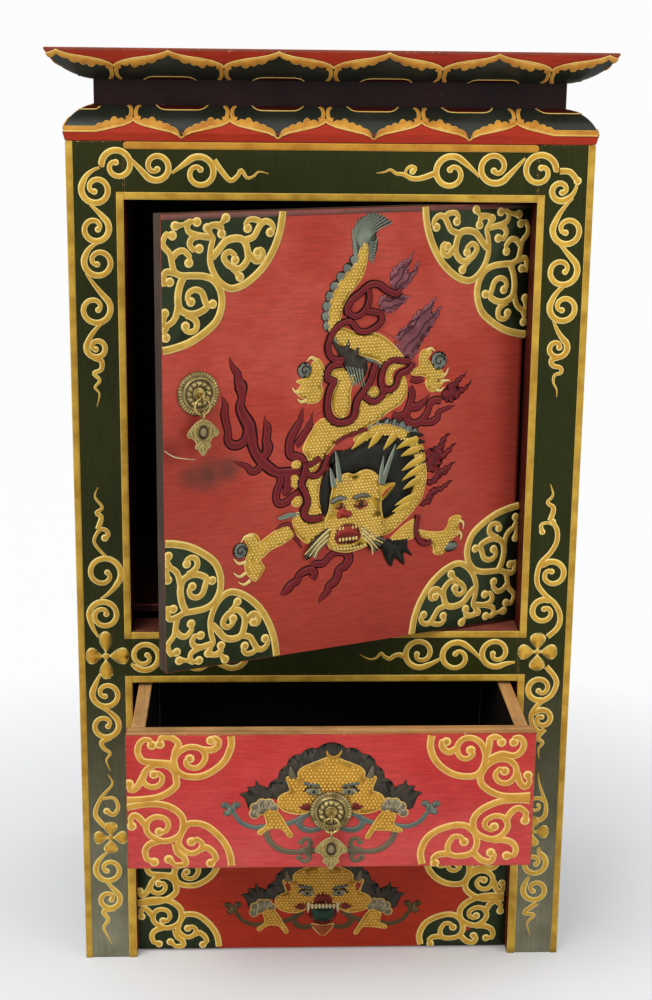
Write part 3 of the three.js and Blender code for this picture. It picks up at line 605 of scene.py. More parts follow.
# The same ochre laid on more evenly, with its pale lines only at the very edge, and a browner one on top
strip_gold = gilt("ochre_distemper_strip", "#c39c3c", "#d6b55c", "#a27a26", 0.8)
bar_gold = gilt("ochre_distemper_bar", "#c08a30", "#d3a34a", "#a87022", 0.8)
gold_strips = joined([strip_mesh(strips, strip_gold), strip_mesh([top_bar], bar_gold, 0.7, True)])
show("front_strips", laid(gold_strips, on_front), "carcass", "gold_relief")


# The two flowers where the stiles meet the middle rail, and two smaller ones low on the legs: four gesso
# petals round a knob, filled in with the same ochre and edged with the same pale yellow.
patch_tree, given, result = geometry_tree("filled_patch", Step="Float", Height="Float", Crown="Float",
                                          Rim="Float", Detail="Int", Finish="Material")
smooth = node(patch_tree, "GeometryNodeCurveSplineType", {"Curve": given}, spline_type="CATMULL_ROM")
spaced = node(patch_tree, "GeometryNodeResampleCurve", {"Curve": smooth, "Length": given.outputs["Step"]},
              mode="LENGTH")
number = node(patch_tree, "GeometryNodeInputIndex")
base = node(patch_tree, "GeometryNodeFillCurve", {"Curve": spaced, "Group ID": number}, mode="TRIANGLES")
base = node(patch_tree, "GeometryNodeSubdivideMesh", {"Mesh": base, "Level": given.outputs["Detail"]})
outline = node(patch_tree, "GeometryNodeCurveToMesh", {"Curve": spaced})
near = node(patch_tree, "GeometryNodeProximity", {"Geometry": outline}, target_element="EDGES")
inward = near.outputs["Distance"]
rim_share = node(patch_tree, "ShaderNodeMath", {0: inward, 1: given.outputs["Rim"]}, operation="DIVIDE")
rim_share = node(patch_tree, "ShaderNodeMath", {0: rim_share, 1: 1.0}, operation="MINIMUM")
rim_share = node(patch_tree, "ShaderNodeMath", {0: 1.0, 1: rim_share}, operation="SUBTRACT")
base = node(patch_tree, "GeometryNodeStoreNamedAttribute",
            {"Geometry": base, "Name": "across", "Value": rim_share}, data_type="FLOAT")
rise = node(patch_tree, "ShaderNodeMath", {0: inward, 1: given.outputs["Crown"]}, operation="DIVIDE")
rise = node(patch_tree, "ShaderNodeMath", {0: rise, 1: 1.0}, operation="MINIMUM")
rise = node(patch_tree, "ShaderNodeMath", {0: 1.0, 1: rise}, operation="SUBTRACT")
rise = node(patch_tree, "ShaderNodeMath", {0: rise, 1: 2.0}, operation="POWER")
rise = node(patch_tree, "ShaderNodeMath", {0: 1.0, 1: rise}, operation="SUBTRACT")
rise = node(patch_tree, "ShaderNodeMath", {0: rise, 1: 0.5}, operation="POWER")
rise = node(patch_tree, "ShaderNodeMath", {0: rise, 1: given.outputs["Height"]}, operation="MULTIPLY")
rise = node(patch_tree, "ShaderNodeCombineXYZ", {"Z": rise})
top = node(patch_tree, "GeometryNodeSetPosition", {"Geometry": base, "Offset": rise})
under = node(patch_tree, "GeometryNodeFlipFaces", {"Mesh": base})
both = node(patch_tree, "GeometryNodeJoinGeometry", {"Geometry": top})
patch_tree.links.new(under.outputs[0], both.inputs[0])
both = node(patch_tree, "GeometryNodeMergeByDistance", {"Geometry": both, "Distance": 0.005})
both = node(patch_tree, "GeometryNodeRealizeInstances", {"Geometry": both})
both = node(patch_tree, "GeometryNodeSetMaterial", {"Geometry": both, "Material": given.outputs["Finish"]})
patch_tree.links.new(both.outputs[0], result.inputs[0])


def even(points, wide):
    return [(u, v, wide) for u, v in points]


def patches(outlines, finish, height=0.7, crown=1.6, rim=2.0, step=1.2, detail=1, lift=0.0):
    shapes = [even(outline, 1) for outline in outlines]
    return drawn(patch_tree, shapes, True, lift, Step=step, Height=height, Crown=crown, Rim=rim,
                 Detail=detail, Finish=finish)


def ring(centre, across, up=None, count=14, turn=0.0):
    up = across if up is None else up
    points = []
    for i in range(count):
        a = 2 * math.pi * i / count
        x, y = across * math.cos(a), up * math.sin(a)
        points.append((centre[0] + x * math.cos(turn) - y * math.sin(turn),
                       centre[1] + x * math.sin(turn) + y * math.cos(turn)))
    return points


def petal(centre, reach, wide, angle, root=1.5):
    # A teardrop petal: its point at the middle of the flower, its round end at reach
    stations = ((0.22, 0.13), (0.36, 0.31), (0.5, 0.44), (0.66, 0.5), (0.81, 0.46), (0.93, 0.31),
                (0.985, 0.15))
    shape = [(root, 0.4)] + [(along * reach, half * wide) for along, half in stations] + [(reach, 0.0)]
    shape += [(a, -h) for a, h in reversed(shape[:-1])]
    turn = math.radians(angle)
    return [(centre[0] + a * math.cos(turn) - h * math.sin(turn),
             centre[1] + a * math.sin(turn) + h * math.cos(turn)) for a, h in shape]


flower_petals = []
for angle, reach, wide in ((90, 19, 10.6), (180, 15, 13), (0, 17.5, 13.2), (270, 18, 10.6)):
    flower_petals.append(petal((-160, 242.5), reach, wide, angle))
for angle in (90, 180, 0, 270):
    flower_petals.append(petal((155, 244.4), 15, 12, angle, 0.6))
flower_hearts = [ring((-160, 242.5), 2.6), ring((155, 244.4), 2.4)]
for centre in ((-159.5, 99), (157, 101)):
    for angle in (90, 180, 0, 270):
        flower_petals.append(petal(centre, 13, 11, angle, 0.6))
    flower_hearts.append(ring(centre, 2.4))
flowers = joined([patches(flower_petals, gold, 1.2, 3.2, 2.2), patches(flower_hearts, gold, 1.9, 2.2, 1.2)])
show("front_flowers", laid(flowers, on_front, -0.05), "carcass", "gold_relief")

# The back posts, the side rails and the side panels: the same softwood as the front, its rails tenoned in
# the posts and its panels let into grooves. The frame is painted a plain dark maroon and the panels red.
# Maroon gone dark, a plainer red on the panels, and inside a wash of lampblack that hides the wood, its
# near black also a painted shade inside the carcass
maroon_coat = paint("maroon_distemper", "#2c1413", "#1d0d0d", "#5d4433", 0.4)
maroon_edge = paint("maroon_distemper_worn", "#3a1d18", "#54352a", "#7d6040", 0.5, mottle=0.8, chips=0.12)
inside_wash_and_shade = paint("black_brown_inside_wash_and_painted_shade", "#120807", "#0b0505", "#1d120c", 0.7)
red_side_coat = paint("red_distemper_side", "#93301f", "#7c2718", "#4f1d14", 0.42)
for word in ("left", "right"):
    board("back_post_" + word, maroon_coat, maroon_edge, "carcass", "maroon_paint")
    for node_name in ("side_bottom_rail_", "side_top_rail_"):
        board(node_name + word, maroon_coat, maroon_edge, "carcass", "maroon_paint")
board("side_panel_left", red_side_coat, inside_wash_and_shade, "carcass", "red_paint", 0, [((1, 0, 0), inside_wash_and_shade)])
board("side_panel_right", red_side_coat, inside_wash_and_shade, "carcass", "red_paint", 0, [((-1, 0, 0), inside_wash_and_shade)])

# The back: two rails and a panel of thin softwood boards between the back posts. It stands against a wall,
# so it is only rubbed with a brown wash and never painted.
# The wave texture's scale at which its rings lie 1 mm apart
one_mm_rings = 314.0


def bare(name, pale, dark, grain_way=(1, 0, 0), gloss=0.62, ring_width=5.0, soil="#6b5238", soiling=0.35):
    # Bare softwood: growth rings a few mm apart drawn out along the board, fine pores, and brown hand dirt
    # in cloudy patches
    material, tree = new_material(name)
    place = node(tree, "ShaderNodeTexCoord").outputs["Object"]
    stretch = tuple(0.06 if way else 1.0 for way in grain_way)
    along = node(tree, "ShaderNodeMapping", {"Vector": place, "Scale": stretch})
    swirl = node(tree, "ShaderNodeTexNoise", {"Vector": along, "Scale": 30.0, "Detail": 2.0})
    swirl_amount = node(tree, "ShaderNodeVectorMath", {0: swirl.outputs["Color"], "Scale": 0.02},
                        operation="SCALE")
    bent = node(tree, "ShaderNodeVectorMath", {0: along, 1: swirl_amount}, operation="ADD")
    rings = node(tree, "ShaderNodeTexWave", {"Vector": bent, "Scale": one_mm_rings / ring_width,
                                             "Distortion": 3.0, "Detail": 2.0, "Detail Scale": 2.0},
                 wave_type="RINGS", rings_direction="X")
    pores = node(tree, "ShaderNodeTexNoise", {"Vector": along, "Scale": 1100.0, "Detail": 3.0})
    clouds = node(tree, "ShaderNodeTexNoise", {"Vector": place, "Scale": 22.0, "Detail": 5.0,
                                               "Roughness": 0.65})
    pore_level = node(tree, "ShaderNodeMapRange", {"Value": pores, "From Min": 0.3, "From Max": 0.7,
                                                   "To Min": 0.86, "To Max": 1.1})
    tone = node(tree, "ShaderNodeVectorMath",
                {0: covered(tree, colour(pale), (rings, dark)), "Scale": pore_level}, operation="SCALE")
    soiled = node(tree, "ShaderNodeMapRange", {"Value": clouds, "From Min": 0.45, "From Max": 0.7,
                                               "To Max": soiling})
    tone = covered(tree, tone.outputs[0], (soiled, soil))
    surfaced(tree, pores, 0.35, 0.0003, {"Base Color": tone, "Roughness": gloss, "IOR": 1.5,
                                         "Specular IOR Level": 0.1})
    return material


back_wood = bare("brown_washed_softwood", "#6b4a30", "#4d3321", (0, 0, 1), 0.6, 7.0, "#2c1d13")
back_wood_across = bare("brown_washed_softwood_rail", "#644429", "#492f1d", (1, 0, 0), 0.6, 7.0, "#2c1d13")
for node_name in ("back_bottom_rail", "back_top_rail"):
    board(node_name, back_wood_across, back_wood_across, "carcass", "brown_wood")
board("back_panel", back_wood, back_wood, "carcass", "brown_wood", 0, [((0, -1, 0), inside_wash_and_shade)])

# Inside: the compartment's floor, the strips that carry it, and the drawer's runners, guides and kickers.
# Rough sawn softwood nailed between the posts; only the floor is painted, in a dark red-brown wash that is
# paler along its worn edges.
floor_coat = paint("red_wash_on_floor_board", "#4a211c", "#2f1613", "#8d5b4a", 0.6, (0.1, 1, 1), 0.9, 0.05)
floor_edge = paint("red_wash_worn", "#7b4238", "#5d2c25", "#a87a62", 0.6, (0.1, 1, 1), 0.9, 0.1)
sawn_wood = bare("sawn_softwood_inside", "#4c3524", "#38261a", (0, 1, 0), 0.8)
board("compartment_floor", floor_coat, floor_edge, "carcass", "raw_wood", 1.0)
for word in ("left", "right"):
    for node_name in ("floor_bearer_", "drawer_kicker_", "drawer_runner_", "drawer_guide_"):
        board(node_name + word, sawn_wood, sawn_wood, "carcass", "raw_wood", 0)
board("carcass_top", inside_wash_and_shade, inside_wash_and_shade, "carcass", "brown_wood", 0)

# The lower lotus moulding: three strips planed to a rounded shoulder and mitred at the corners. Red
# petals point up out of the lower edge; a gold acanthus band runs between them and the dark green above,
# where little red tongues show behind.
body_half = 180.0
shoulder_profile = [(0, 609.3)]
cornice_profile = []


def bulged(start, end, sagitta, steps=16):
    # The moulding plane's curve between two points, (distance out from the body, height)
    (p0, z0), (p1, z1) = start, end
    chord = math.hypot(p1 - p0, z1 - z0)
    radius = chord * chord / 8 / sagitta + sagitta / 2
    half = math.asin(chord / 2 / radius)
    along = ((p1 - p0) / chord, (z1 - z0) / chord)
    points = []
    for i in range(steps + 1):
        angle = half * (2 * i / steps - 1)
        travel = chord / 2 + radius * math.sin(angle)
        bulge = radius * math.cos(angle) - (radius - sagitta)
        points.append((p0 + along[0] * travel + along[1] * bulge, z0 + along[1] * travel - along[0] * bulge))
    return points


shoulder_profile += bulged((1.4, 614.7), (-18, 632), 4.1)
cornice_profile += bulged((-18, 649.7), (11.4, 668.6), 3.8) + [(11.4, 670)]


def walked(profile):
    # The profile with the length walked along it
    length = 0.0
    points = [(0.0, *profile[0])]
    for (p0, z0), (p1, z1) in zip(profile, profile[1:]):
        length += math.hypot(p1 - p0, z1 - z0)
        points.append((length, p1, z1))
    return points


def at_height(profile, height):
    for (s0, p0, z0), (s1, p1, z1) in zip(walked(profile), walked(profile)[1:]):
        if z0 <= height <= z1:
            return s0 + (s1 - s0) * (height - z0) / (z1 - z0)
    return walked(profile)[-1][0]


def on_moulding(profile, side):
    # place(along, walked, out) on the front, left or right moulding
    table = walked(profile)

    def place(along, travel, out):
        last = table[-1][0]
        travel = min(max(travel, 0.02), last - 0.02)
        for (s0, p0, z0), (s1, p1, z1) in zip(table, table[1:]):
            if s0 <= travel <= s1:
                break
        share = (travel - s0) / (s1 - s0)
        reach = p0 + (p1 - p0) * share + out * (z1 - z0) / (s1 - s0)
        height = z0 + (z1 - z0) * share - out * (p1 - p0) / (s1 - s0)
        if side == "front":
            return Vector((along, -body_front - reach, height)) / 1000
        if side == "left":
            return Vector((-body_half - reach, -along, height)) / 1000
        return Vector((body_half + reach, along, height)) / 1000

    return place


def band(x0, x1, low, high, finish, rows=3, height=0.4, step=1.2, mound=True):
    # A strip of gesso or paint between two edges, low(x) and high(x), drawn along x; across runs from -1
    # at the low edge to 1 at the high one
    shape = bmesh.new()
    layer = shape.verts.layers.float.new("across")
    steps = max(2, int((x1 - x0) / step))
    columns = []
    for i in range(steps + 1):
        x = x0 + (x1 - x0) * i / steps
        a, b = low(x), high(x)
        column = [shape.verts.new((x, a, -0.1))]
        for j in range(rows + 1):
            t = j / rows
            lift = height * (1 - (2 * t - 1) ** 4) if mound else height
            column.append(shape.verts.new((x, a + (b - a) * t, lift)))
            column[-1][layer] = 2 * t - 1
        column.append(shape.verts.new((x, b, -0.1)))
        columns.append(column)
    for c0, c1 in zip(columns, columns[1:]):
        for j in range(len(c0)):
            k = (j + 1) % len(c0)
            shape.faces.new((c0[j], c1[j], c1[k], c0[k]))
    shape.faces.new(columns[0])
    shape.faces.new(columns[-1])
    return closed_mesh(shape, finish)


def between(table, t):
    # The value at t in a table of (t, value)
    for (a, b), (c, d) in zip(table, table[1:]):
        if a <= t <= c:
            return b + (d - b) * (t - a) / (c - a)
    return table[-1][1]


# Dark green between the petals with a soft shine and greyer clouds that paint its reflection of the room,
# warm ochre bands, deep red tongues, and a brick red for the petals that is brushed along the boards and
# rubbed to the wood at the corners
petal_ground = paint("dark_green_distemper_moulding", "#1e2119", "#2b2e28", "#6b6a55", 0.3, sheen=0.4)
moulding_gold = gilt("ochre_distemper_moulding", "#cc9138", "#e2b45c", "#ae6f28", 0.6)
tongue_red = paint("deep_red_distemper_tongue", "#3d100c", "#2a0b09", "#5d2a1c", 0.4)
red_coat = paint("red_distemper", "#a2301c", "#8a2817", "#5a2317", 0.38, (0.1, 0.1, 1))
red_edge = paint("red_distemper_worn", "#8a4431", "#6b4032", "#b08a6a", 0.5, (0.1, 0.1, 1), 0.8, 0.12)


def scalloped(t, lobes):
    # Acanthus lobes along the loose edge of a band: each rises steeply and rolls over
    rise = 0.0
    for centre, wide, high in lobes:
        d = (t - centre) / wide
        if -1 < d < 1:
            rise = max(rise, high * math.sqrt(1 - d * d))
    return rise


def trimmed(mesh, cuts):
    # Saws a mesh off at planes, each a point and the way it looks, and closes the cut ends
    shape = bmesh.new()
    shape.from_mesh(mesh)
    for spot, way in cuts:
        made = bmesh.ops.bisect_plane(shape, geom=shape.verts[:] + shape.edges[:] + shape.faces[:], dist=1e-7,
                                      plane_co=spot, plane_no=way, clear_outer=True)
        sawn = [item for item in made["geom_cut"] if isinstance(item, bmesh.types.BMEdge)
                and item.is_boundary]
        bmesh.ops.holes_fill(shape, edges=sawn, sides=0)
    shape.to_mesh(mesh)
    shape.free()
    return mesh


tongue_reach = 17.5
tongue_depth = 9.0


def petal_row(name, profile, peaks, half_pitch, boundary, lobes, stem_way, side, ends):
    # One row of petals on one moulding. boundary is the height of the petal's edge from its peak (0) to
    # its tip (1); stem_way is 1 where the green lies above the edge and -1 where it lies below.
    place = on_moulding(profile, side)
    edge_table = [(t, at_height(profile, z)) for t, z in boundary]
    length = walked(profile)[-1][0]

    def share(x):
        near = min(peaks, key=lambda peak: abs(peak - x))
        most = 0.78 if x < peaks[0] or x > peaks[-1] else 1.0
        return min(most, abs(x - near) / half_pitch)

    def edge(x):
        return between(edge_table, share(x))

    def loose(x):
        return edge(x) + stem_way * (0.9 + scalloped(share(x), lobes))

    neck_end = length if stem_way > 0 else 0.0
    parts = []
    pick = (lambda a, b: (a, b)) if stem_way > 0 else (lambda a, b: (b, a))
    low, high = pick(edge, lambda x: neck_end)
    parts.append(band(ends[0], ends[1], low, high, petal_ground, 14, 0.12, 1.5, False))
    low, high = pick(edge, loose)
    parts.append(band(ends[0], ends[1], low, high, moulding_gold, 4, 0.85, 0.8))
    x = ends[0]
    trail = []
    while x < ends[1]:
        trail.append((x, edge(x), 0.62))
        x += 0.9
    trails = [trail]
    stems = []
    tongues = []
    for index in range(int((ends[0] - peaks[0]) / half_pitch) - 2, 2 * len(peaks) + 4):
        x = peaks[0] + index * half_pitch
        if not ends[0] + 8 < x < ends[1] - 8:
            continue
        if (index % 2 == 0) == (stem_way > 0):
            start = edge(x)
            for way in (-1, 1):
                stems.append([(x + way * 5.0, start + stem_way * 1.8, 1.5),
                              (x + way * 2.0, start + stem_way * 3.6, 1.5),
                              (x + way * 1.7, (start + neck_end) / 2 + stem_way, 1.3),
                              (x + way * 3.4, neck_end - stem_way * 1.0, 1.6)])
        else:
            wide = min(tongue_reach, ends[1] - x - 4, x - ends[0] - 4)

            def shut(x_here, centre=x, reach=wide):
                return tongue_depth * (1 - min(1, abs(x_here - centre) / reach) ** 8)

            low, high = pick(lambda q: neck_end - stem_way * shut(q), lambda q: neck_end)
            tongues.append(band(x - wide, x + wide, low, high, tongue_red, 8, 0.3, 1.5, False))
            trail = []
            q = x - wide
            while q <= x + wide:
                trail.append((q, neck_end - stem_way * shut(q), 0.6))
                q += 1.0
            trails.append(trail)
    parts += tongues
    parts.append(lines(trails, pale_line, 0.8, lift=0.5, step=1.0))
    parts.append(lines(stems, moulding_gold, lift=0.1))
    mesh = laid(joined(parts), place, 0.05)
    cuts = []
    for way in (1, -1):
        if side == "front":
            cuts.append(((way * body_half / 1000, -body_front / 1000, 0), (way, 1, 0)))
        elif (side == "right") == (way > 0):
            cuts.append(((way * body_half / 1000, -body_front / 1000, 0), (-way, -1, 0)))
    show(name, trimmed(mesh, cuts), "carcass", "gold_relief")


pale_line = gilt("pale_yellow_distemper_line", "#dcb866", "#e9cf86", "#c9983f", 0.7)
back_edge = 169.0
shoulder_edge = [(0, 622.8), (0.06, 621.3), (0.2, 619.5), (0.4, 618), (0.6, 616.6), (0.8, 615.3),
                 (0.93, 613.6), (1, 611.5)]
shoulder_lobes = [(0.1, 0.14, 3.0), (0.26, 0.1, 5.4), (0.4, 0.1, 8.0), (0.56, 0.1, 5.8), (0.7, 0.1, 4.8),
                  (0.84, 0.12, 3.4)]
shoulder_peaks = [-134.1 + 64.9 * i for i in range(5)]
for side in ("front", "left", "right"):
    board("shoulder_moulding_" + side, red_coat, red_coat, "carcass", "red_paint", 0)
    peaks = shoulder_peaks if side == "front" else [-20 + 64.9 * i for i in range(-4, 4)]
    ends = (-181, 181) if side == "front" else (-back_edge, 62) if side == "left" else (-62, back_edge)
    petal_row("shoulder_petals_" + side, shoulder_profile, peaks, 32.45, shoulder_edge, shoulder_lobes, 1,
              side, ends)

# The neck: four plain softwood boards on edge, set back between the two mouldings and glued up as a box.
# They are painted a maroon that is nearly black, brushed level, and it hides their grain.
neck_coat = paint("blackened_maroon_distemper", "#251413", "#170c0c", "#7a5136", 0.36, (0.1, 1, 1), 0.9, 0.05)
for node_name in ("neck_front", "neck_left", "neck_right", "neck_back"):
    board(node_name, neck_coat, neck_coat, "carcass", "maroon_paint", 0.5)

# The cornice: three mitred strips of softwood that flare out to the widest part of the cabinet, with the
# same petals hanging down, and the top board let in between them.
cornice_edge = [(0, 668.3), (0.1, 667), (0.2, 666), (0.35, 665), (0.6, 663.8), (0.8, 662.3), (0.93, 660.6),
                (1, 658.8)]
cornice_lobes = [(0.12, 0.14, 4.0), (0.3, 0.12, 6.4), (0.46, 0.1, 7.4), (0.6, 0.1, 8.8), (0.76, 0.1, 5.4),
                 (0.9, 0.1, 4.0)]
cornice_peaks = [-183.1 + 73.4 * i for i in range(6)]
for side in ("front", "left", "right"):
    board("cornice_moulding_" + side, red_coat, red_edge, "carcass", "red_paint", 0.6)
    peaks = cornice_peaks if side == "front" else [-35 + 73.4 * i for i in range(-4, 4)]
    ends = (-191, 191) if side == "front" else (-back_edge, 72) if side == "left" else (-72, back_edge)
    petal_row("cornice_petals_" + side, cornice_profile, peaks, 36.7, cornice_edge, cornice_lobes, -1,
              side, ends)
board("top_board", red_side_coat, red_edge, "carcass", "brown_wood", 0.5)


# The apron: a fixed board under the drawer, set back between the legs and painted like the drawer front,
# with a monster mask, the guardian face that is painted to keep bad luck out, and scrolls in the corners.
board("apron_panel", red_coat, red_edge, "carcass", "red_paint", 0.5)
apron_front = 52.525


def on_apron(u, v, out):
    return Vector((u, -apron_front - out, v)) / 1000


def vine(points, wide=2.3, bulb=0.0):
    # An even stroke that thins a little towards its end, or swells there to a bulb of that radius
    count = len(points) - 1
    stroke = [(u, v, wide * (1 - 0.3 * (i / count) ** 2)) for i, (u, v) in enumerate(points)]
    if bulb:
        (u0, v0, _), (u1, v1, half1) = stroke[-2:]
        share = min(0.8, 1.3 * bulb / math.dist((u0, v0), (u1, v1)))
        stroke[-1] = (u1 + (u0 - u1) * share, v1 + (v0 - v1) * share, min(half1, 0.8 * wide))
        stroke.append((u1, v1, bulb))
    return stroke


# The corner scrolls of the drawer, in mm on its face: two lobed rims that wind in to a spiral each, and
# the leaves and curls that fill what is left of the corner
drawer_vines = {
    "top_left": [
        [(-68.5, 219.6), (-68.3, 212.8), (-71.4, 204), (-77, 197.1), (-85.8, 191.5), (-93.3, 190),
         (-100.8, 191.3), (-105.8, 195.9), (-106.4, 205.3), (-98.3, 211.5), (-89.5, 210.9), (-85.8, 205.3),
         (-88.3, 199), (-93.3, 196.5), (-98.3, 198.4), (-98.9, 202.1), (-96.4, 203.4)],
        [(-88, 210), (-82, 209.6), (-77.6, 212.1), (-77, 216.5), (-80.1, 218.4), (-82, 216.5)],
        [(-107.6, 200), (-105.8, 209), (-103.9, 214), (-107, 217.8), (-112, 219.3), (-116.4, 217.8),
         (-116.5, 214)],
        [(-108, 199.5), (-114.5, 200.3), (-122, 200.9), (-128.3, 202.1), (-131.4, 207.8), (-130.8, 213.4),
         (-127.6, 217.1), (-123.3, 217.1), (-122, 213.4)],
        [(-139.4, 173.4), (-134.5, 173.4), (-125.8, 174), (-118.3, 175.3), (-110.8, 179), (-105.8, 184),
         (-105.8, 189), (-107, 194), (-112, 198.4), (-119.5, 199), (-125.8, 195.3), (-128.3, 190.3),
         (-127, 185.3), (-122, 182.8), (-117, 184.6), (-115.1, 189.6), (-117.6, 192.8), (-120.8, 192.1)],
        [(-127, 193), (-130.8, 185.3), (-134.5, 180.9), (-137.3, 180.9), (-137.7, 185.3)]],
    "bottom_left": [
        [(-139.4, 167.8), (-134.5, 169), (-127, 170.3), (-118.3, 170.3), (-110.8, 168.4), (-104.5, 164),
         (-101.4, 159), (-101.4, 152.8), (-103.3, 147.8), (-108.3, 144), (-115.8, 142.8), (-123.3, 146.5),
         (-126.4, 151.5), (-125.1, 157.8), (-119.5, 160.9), (-113.3, 159), (-111.4, 154), (-113.9, 149.6),
         (-117.6, 149.6)],
        [(-126.5, 154), (-131.4, 160.3), (-135.1, 162.1), (-137.2, 159), (-136.4, 154)],
        [(-118, 142.8), (-124.5, 140.3), (-127.6, 135.3), (-126.4, 129), (-121.4, 127.1)],
        [(-68.3, 124), (-69.5, 132.8), (-72.6, 140.3), (-78.3, 147.8), (-85.8, 154), (-93.3, 155.9),
         (-99.5, 154), (-104.5, 142.8), (-102, 136.5), (-96.4, 133.4), (-90.8, 135.3), (-88.3, 140.3),
         (-92, 144), (-95.8, 142.1)],
        [(-90, 136), (-85.8, 137.8), (-80.8, 134), (-78.9, 129), (-82.6, 125.9)],
        [(-107, 141), (-105.1, 134), (-100.8, 130.3), (-100.1, 125.3), (-107, 124.6), (-111.4, 129)]],
    "top_right": [
        [(68.1, 219.3), (67.3, 211.5), (70, 202.8), (76.3, 195.3), (85, 190.3), (95, 189), (101.3, 191.5),
         (105, 199), (105, 206.5), (101.3, 214), (95, 217.4), (88.8, 215.9), (85.6, 210.3), (87.5, 204),
         (92.5, 202.1), (96.9, 205.3), (95, 208.4)],
        [(85, 209.5), (80, 207.1), (75.6, 210.3), (75, 214.6), (78.1, 214.6)],
        [(106.3, 205), (107.5, 212.8), (108, 216.6), (111.3, 218), (115, 216.8), (116, 214)],
        [(107.5, 201.5), (116.3, 205.3), (125, 204), (130, 207.8), (131.3, 212.8), (128.8, 217.1),
         (125, 217.1), (124.4, 214)],
        [(137.2, 174.6), (127.5, 174), (117.5, 174.6), (108.8, 178.4), (103.1, 184), (102.5, 190.3),
         (106.3, 197.1), (113.8, 201.5), (121.3, 200.9), (126.3, 195.9), (126.3, 189), (121.3, 184),
         (115, 185.3), (112.5, 190.3), (115.6, 194.6), (118.8, 192.8)],
        [(127.5, 191.5), (130, 184), (133.8, 180.9), (136.3, 185.3), (135, 189.6)]],
    "bottom_right": [
        [(137.2, 170.9), (127.5, 171.5), (116.3, 170.3), (106.3, 165.9), (100, 160.3), (98.1, 154),
         (100, 147.8), (105, 144), (112.5, 142.1), (118.8, 145.3), (122.5, 151.5), (120, 157.8),
         (113.8, 159.6), (107.5, 156.5), (106.9, 151.5), (111.3, 149), (113.1, 151.5)],
        [(121.3, 156.5), (125, 162.8), (130, 165.3), (135, 161.5), (134.4, 155.9)],
        [(112.5, 141.5), (120, 141.5), (126.3, 139), (128.8, 134), (127.5, 129.6), (122.5, 129.6)],
        [(63.8, 124), (62.5, 132.8), (66.3, 142.8), (73.8, 149), (85, 152.8), (93.8, 152.1), (100, 146.5),
         (101.3, 137.8), (97.5, 131.5), (88.8, 129.6), (82.5, 131.5), (81.3, 137.8), (85, 144), (90, 144),
         (92.5, 140.3)],
        [(82.5, 131.5), (75, 130.9), (71.3, 127.8), (72.5, 124.4)],
        [(100, 131.5), (105, 126.5), (111.3, 125.3), (113.8, 130.3), (111.3, 132)]],
}
apron_scale = 0.86


def framed(mesh, left, right, low, high):
    # A flat mesh in mm kept inside the board that carries it
    return trimmed(mesh, [((left, 0, 0), (-1, 0, 0)), ((right, 0, 0), (1, 0, 0)), ((0, low, 0), (0, -1, 0)),
                          ((0, high, 0), (0, 1, 0))])


def shrunk(point, corner):
    # A point of a drawer corner moved to the same corner of the apron, whose scrolls are smaller
    u, v = point
    side = -139.8 if "left" in corner else 139.8
    edge, new_edge = (220.7, 81.5) if "top" in corner else (121.9, 2.0)
    new_side = math.copysign(141.0, side)
    return new_side + (u - side) * apron_scale, new_edge + (v - edge) * apron_scale


apron_strokes = []
apron_grounds = []
for corner, vines in drawer_vines.items():
    small = [[shrunk(point, corner) for point in points] for points in vines]
    apron_strokes += [vine(points, 2.7, 3.2) for points in small]
    lobes = sorted((points for points in small if len(points) > 12), key=lambda points: abs(points[0][0]))
    side = math.copysign(140.8, lobes[0][0][0])
    edge = 81.5 if "top" in corner else 2.2
    rim = lobes[0][:9] + lobes[1][:10][::-1]
    apron_grounds.append(rim + [(side, rim[-1][1]), (side, edge), (rim[0][0], edge)])


def flat_patches(outlines, finish, height=0.15):
    # Painted areas with straight or curved edges as drawn, only as thick as the paint
    shape = bmesh.new()
    for outline in outlines:
        tops = [shape.verts.new((u, v, height)) for u, v in outline]
        unders = [shape.verts.new((u, v, -0.1)) for u, v in outline]
        for i, top in enumerate(tops):
            shape.faces.new((top, tops[i - 1], unders[i - 1], unders[i]))
        shape.faces.new(tops)
        shape.faces.new(reversed(unders))
    bmesh.ops.recalc_face_normals(shape, faces=shape.faces)
    bmesh.ops.triangulate(shape, faces=[face for face in shape.faces if len(face.verts) > 4])
    return closed_mesh(shape, finish)


# A flat dull green, a little lighter in clouds, without any shine
medallion_green = paint("green_distemper_medallion", "#27301d", "#313a26", "#5d6048", 0.55)
apron_ornament = joined([flat_patches(apron_grounds, medallion_green),
                         lines(apron_strokes, gold, 0.62, 1.0, step=1.1)])
show("apron_corner_scrolls", laid(framed(apron_ornament, -140.9, 140.9, 2.3, 81.4), on_apron), "carcass",
     "gold_relief")

# Beads of gesso dotted on in rows, about 2.4 mm apart, are the skin of the mask and of the dragon
bead_tree, given, result = geometry_tree("gesso_beads", Pitch="Float", Size="Float", Margin="Float",
                                         Seed="Int", Finish="Material")
extent = node(bead_tree, "GeometryNodeBoundBox", {"Geometry": given})
span = node(bead_tree, "ShaderNodeVectorMath", {0: extent.outputs["Max"], 1: extent.outputs["Min"]},
            operation="SUBTRACT")
middle = node(bead_tree, "ShaderNodeVectorMath", {0: extent.outputs["Max"], 1: extent.outputs["Min"]},
              operation="ADD")
middle = node(bead_tree, "ShaderNodeVectorMath", {0: middle, "Scale": 0.5}, operation="SCALE")
middle = node(bead_tree, "ShaderNodeVectorMath", {0: middle, 1: (0.0, 0.0, 20.0)}, operation="ADD")
sizes = node(bead_tree, "ShaderNodeSeparateXYZ", {"Vector": span})
row_pitch = node(bead_tree, "ShaderNodeMath", {0: given.outputs["Pitch"], 1: 0.866}, operation="MULTIPLY")
columns = node(bead_tree, "ShaderNodeMath", {0: sizes.outputs["X"], 1: given.outputs["Pitch"]},
               operation="DIVIDE")
